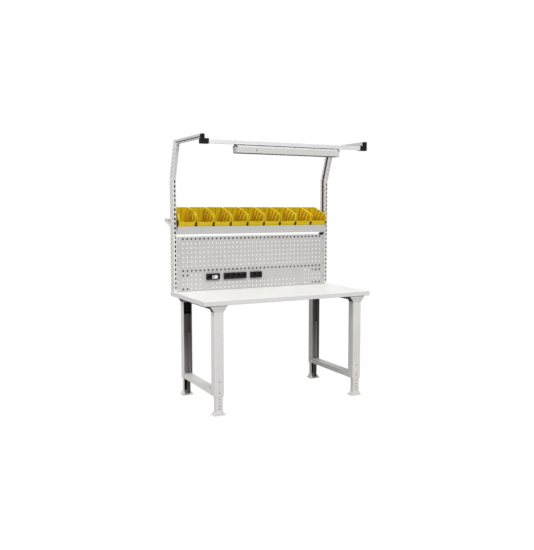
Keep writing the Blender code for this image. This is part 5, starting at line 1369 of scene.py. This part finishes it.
# %% Strips of painted shade and closing plates
LIP_INSIDE = INNER_X + 0.0017
LIP_SHADE_X = (LIP_INSIDE, LIP_INSIDE + 0.0016)
LIP_SHADE_Y = (FRONT_Y + 0.0025, FRONT_Y + 0.0235)
WING_Y = (LIP_SHADE_Y[1] + 0.0001, FRONT_Y + 0.0375)
LIP_SHADE_Z = (UPRIGHT_BASE + 0.006, BEND_HEIGHT - 0.006)
WING_GAP = (1.335, 1.522)     # heights that the shelf's bracket and bins pass
PLATE_X = (LIP_INSIDE, LIP_INSIDE + 0.0010)
PLATE_Y, PLATE_Z = (FRONT_Y + 0.0240, FRONT_Y + 0.0585), (1.4450, 1.5150)
for side_name, side in SIDES.items():
    # Black strips of painted shade inside the front lip.
    strips = [add_block("strip", LIP_SHADE_X, LIP_SHADE_Y, LIP_SHADE_Z, side),
              add_block("wing", LIP_SHADE_X, WING_Y, (LIP_SHADE_Z[0], WING_GAP[0]), side),
              add_block("wing", LIP_SHADE_X, WING_Y, (WING_GAP[1], LIP_SHADE_Z[1]), side)]
    lip_shade = soften(join_all(strips, "lip_rubber_" + side_name), 0.0005)
    finish(lip_shade, SHADE_BLACK_FOAM, "bench_frame")
    # A plate in the painted-shade coat closes the gap between the lips.
    plate = add_block("closing_plate_" + side_name, PLATE_X, PLATE_Y, PLATE_Z, side)
    bevel_edges(plate, lambda e: runs_along(e, X), 0.003, 3)
    finish(soften(plate, 0.0002), SHADE_INSIDE_PAINT, "bench_frame")
print("rubber strips and plates:", len(SIDES))

# %% [markdown]
# ## Ends of the shelf
#
# Left of the left upright the end of the shelf shows as two light edges with a dark
# line between. The end flange has a long slot there, cut through a softened copy, and
# a low rim stands on the tray's end beside the outer bin.

# %% Shelf ends
END_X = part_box("shelf_tray")[1][0]
SLOT_X, SLOT_Y, SLOT_Z = (END_X - 0.004, END_X + 0.002), (0.090, 0.303), (-0.0125, -0.0045)
RIM_X, RIM_Y, RIM_Z = (END_X - 0.0004, END_X - 0.0016), (0.012, 0.312), (0.0028, 0.0200)
tray = bpy.data.objects["shelf_tray_dressed"]
for side_name, side in SIDES.items():
    cutter = add_block("slot_cutter", SLOT_X, SLOT_Y, SLOT_Z, side)
    bevel_edges(cutter, lambda e: runs_along(e, X), 0.0035, 4)
    cut(tray, tilt_onto_shelf(cutter))
    end_rim = add_block("tray_rim_" + side_name, RIM_X, RIM_Y, RIM_Z, side)
    bevel_edges(end_rim, lambda e: middle_of(e).z > RIM_Z[1] - NEAR and runs_along(e, X),
                0.008, 4)
    finish(tilt_onto_shelf(soften(end_rim, 0.0003)), SHELF_PAINT, "shelf")
smooth(tray, SMOOTH_ANGLE)
apply_modifier(tray, 'WEIGHTED_NORMAL', keep_sharp=True, weight=100)
print("tray faces:", len(tray.data.polygons))

# %% [markdown]
# ## Rail and lamp
#
# A light cover strip closes the rail's front groove, and a black strip of painted shade lies
# in the outer groove of each arm.

# %% Groove cover
RAIL_LOW, RAIL_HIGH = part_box("cross_rail")
COLLAR_LENGTH, COLLAR_OVERSIZE = 0.015, 0.0025
COVER_GAP, COVER_THICKNESS, COVER_HEIGHT = 0.0006, 0.0040, 0.0076
rail_front = RAIL_LOW[1] + COLLAR_OVERSIZE
rail_middle_z = (RAIL_LOW[2] + RAIL_HIGH[2]) / 2
cover = add_block("groove_cover", (RAIL_LOW[0] + COLLAR_LENGTH + COVER_GAP,
                                   RAIL_HIGH[0] - COLLAR_LENGTH - COVER_GAP),
                  (rail_front + FIT_GAP, rail_front + COVER_THICKNESS),
                  around(rail_middle_z, COVER_HEIGHT))
finish(soften(cover, 0.0005), RAIL_ALUMINIUM, "light_carriage")
print("cover height:", round(rail_middle_z, 4))

# %% Painted shade in the arms' grooves
ARM_GROOVE_RISE, GROOVE_SHADE_HEIGHT, GROOVE_SHADE_DEPTH = 0.0062, 0.0046, 0.0040
GROOVE_SHADE_INSET, GROOVE_SHADE_START, GROOVE_SHADE_END = 0.0003, 0.001, 0.075
for side_name, side in SIDES.items():
    low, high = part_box("arm_" + side_name)
    outer, base = high[0] if side > 0 else low[0], low[2] + ARM_GROOVE_RISE
    # A black strip of painted shade in the arm's outer groove.
    bead = add_block("arm_bead_" + side_name,
                     (outer - side * GROOVE_SHADE_DEPTH, outer - side * GROOVE_SHADE_INSET),
                     (low[1] + GROOVE_SHADE_START, high[1] - GROOVE_SHADE_END), (base, base + GROOVE_SHADE_HEIGHT))
    finish(soften(bead, 0.0008), SHADE_BLACK_FOAM, "bench_frame")
print("beads:", len(SIDES))

# %% [markdown]
# ### Clips of the lamp
#
# Each end cap of the lamp is held by a black clip in the shape of an upturned V. It is
# a copy of the cap, made wider and a little larger, cut off at the eaves and opened
# from below with a smaller copy of itself.

# %% Lamp end clips
LAMP_LOW, LAMP_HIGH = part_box("lamp_housing")
lamp_middle_y = (LAMP_LOW[1] + LAMP_HIGH[1]) / 2
EAVE_HEIGHT = 0.044
CLIP_FOOT, OPENING_FOOT = EAVE_HEIGHT - 0.004, EAVE_HEIGHT - 0.005
CLIP_SCALE = (2.2, 1.045, 1.045)
OPENING_SCALE = (3.0, 0.70, 0.70)
CLIP_SHIFT = 0.0016
for side_name, side in SIDES.items():
    clip = copy_of(bpy.data.objects[f"lamp_end_cap_{side_name}_dressed"],
                   "lamp_end_clip_" + side_name, (0.0, 0.0, 0.0))
    free_copy(clip)
    low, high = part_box("lamp_end_cap_" + side_name)
    middle = Vector(((low[0] + high[0]) / 2, lamp_middle_y, LAMP_LOW[2]))
    pick_all(clip)
    bpy.ops.transform.resize(value=CLIP_SCALE, center_override=middle)
    bpy.ops.transform.translate(value=(-side * CLIP_SHIFT, 0.0, 0.0))
    bpy.ops.mesh.select_all(action='SELECT')
    bpy.ops.mesh.bisect(plane_co=(0.0, 0.0, LAMP_LOW[2] + CLIP_FOOT), plane_no=(0.0, 0.0, 1.0),
                        clear_inner=True, use_fill=True)
    leave_edit()
    opening = copy_of(clip, "clip_opening", (0.0, 0.0, -0.001))
    pick_all(opening)
    bpy.ops.transform.resize(value=OPENING_SCALE, center_override=(
        middle.x, middle.y, LAMP_LOW[2] + OPENING_FOOT))
    leave_edit()
    cut(clip, opening)
    finish(soften(clip, 0.0003), BLACK_NYLON, "lamp")
print("faces of a clip:", len(clip.data.polygons))

# %% [markdown]
# ### Small parts of the lamp
#
# A black strip on the ridge fills the gap below the rail as painted shade, one dark screw
# marks the front face, and a black frame of four bars round the diffuser is painted shade
# along the lamp's lower edge.

# %% Ridge strip and screw
STRIP_WIDTH = 0.022
STRIP_TOP = RAIL_LOW[2] + COLLAR_OVERSIZE - 0.0004
STRIP_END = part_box("lamp_hanger_right")[0][0] - 0.002
LAMP_SCREW_PLACE = (-0.293, LAMP_LOW[1] + 0.0014, 2.0220)
FACE_LEAN = 0.003 / EAVE_HEIGHT
# Painted shade in the gap below the rail.
strip = add_block("ridge_strip", (-STRIP_END, STRIP_END), around(lamp_middle_y, STRIP_WIDTH),
                  (LAMP_HIGH[2] - FIT_GAP, STRIP_TOP))
finish(soften(strip, 0.0004), BLACK_NYLON, "lamp")
set_screws("lamp_screw", [(LAMP_SCREW_PLACE, (0, -1, -FACE_LEAN))],
           0.0045, 0.0022, "lamp", BLACK_NYLON)

# %% Diffuser frame
# Painted shade along the lamp's lower edge.
FRAME_BAR, FRAME_HALF, FRAME_END, BAR_GAP = 0.009, 0.0335, 0.001, 0.0001
frame_z = (LAMP_LOW[2] - 0.0024, LAMP_LOW[2] - FIT_GAP)
end_x = LAMP_HIGH[0] - FRAME_END
end_bar_y = (lamp_middle_y - FRAME_HALF + FRAME_BAR + BAR_GAP,
             lamp_middle_y + FRAME_HALF - FRAME_BAR - BAR_GAP)
bars = []
for way in (-1, 1):
    edge = lamp_middle_y + way * FRAME_HALF
    bars += [add_block("bar", (LAMP_LOW[0] + FRAME_END, end_x), (edge, edge - way * FRAME_BAR),
                       frame_z),
             add_block("bar", (end_x, end_x - FRAME_BAR), end_bar_y, frame_z, way)]
frame_piece = soften(join_all(bars, "diffuser_frame"), 0.0005)
finish(frame_piece, BLACK_NYLON, "lamp")
print("bars:", len(bars))
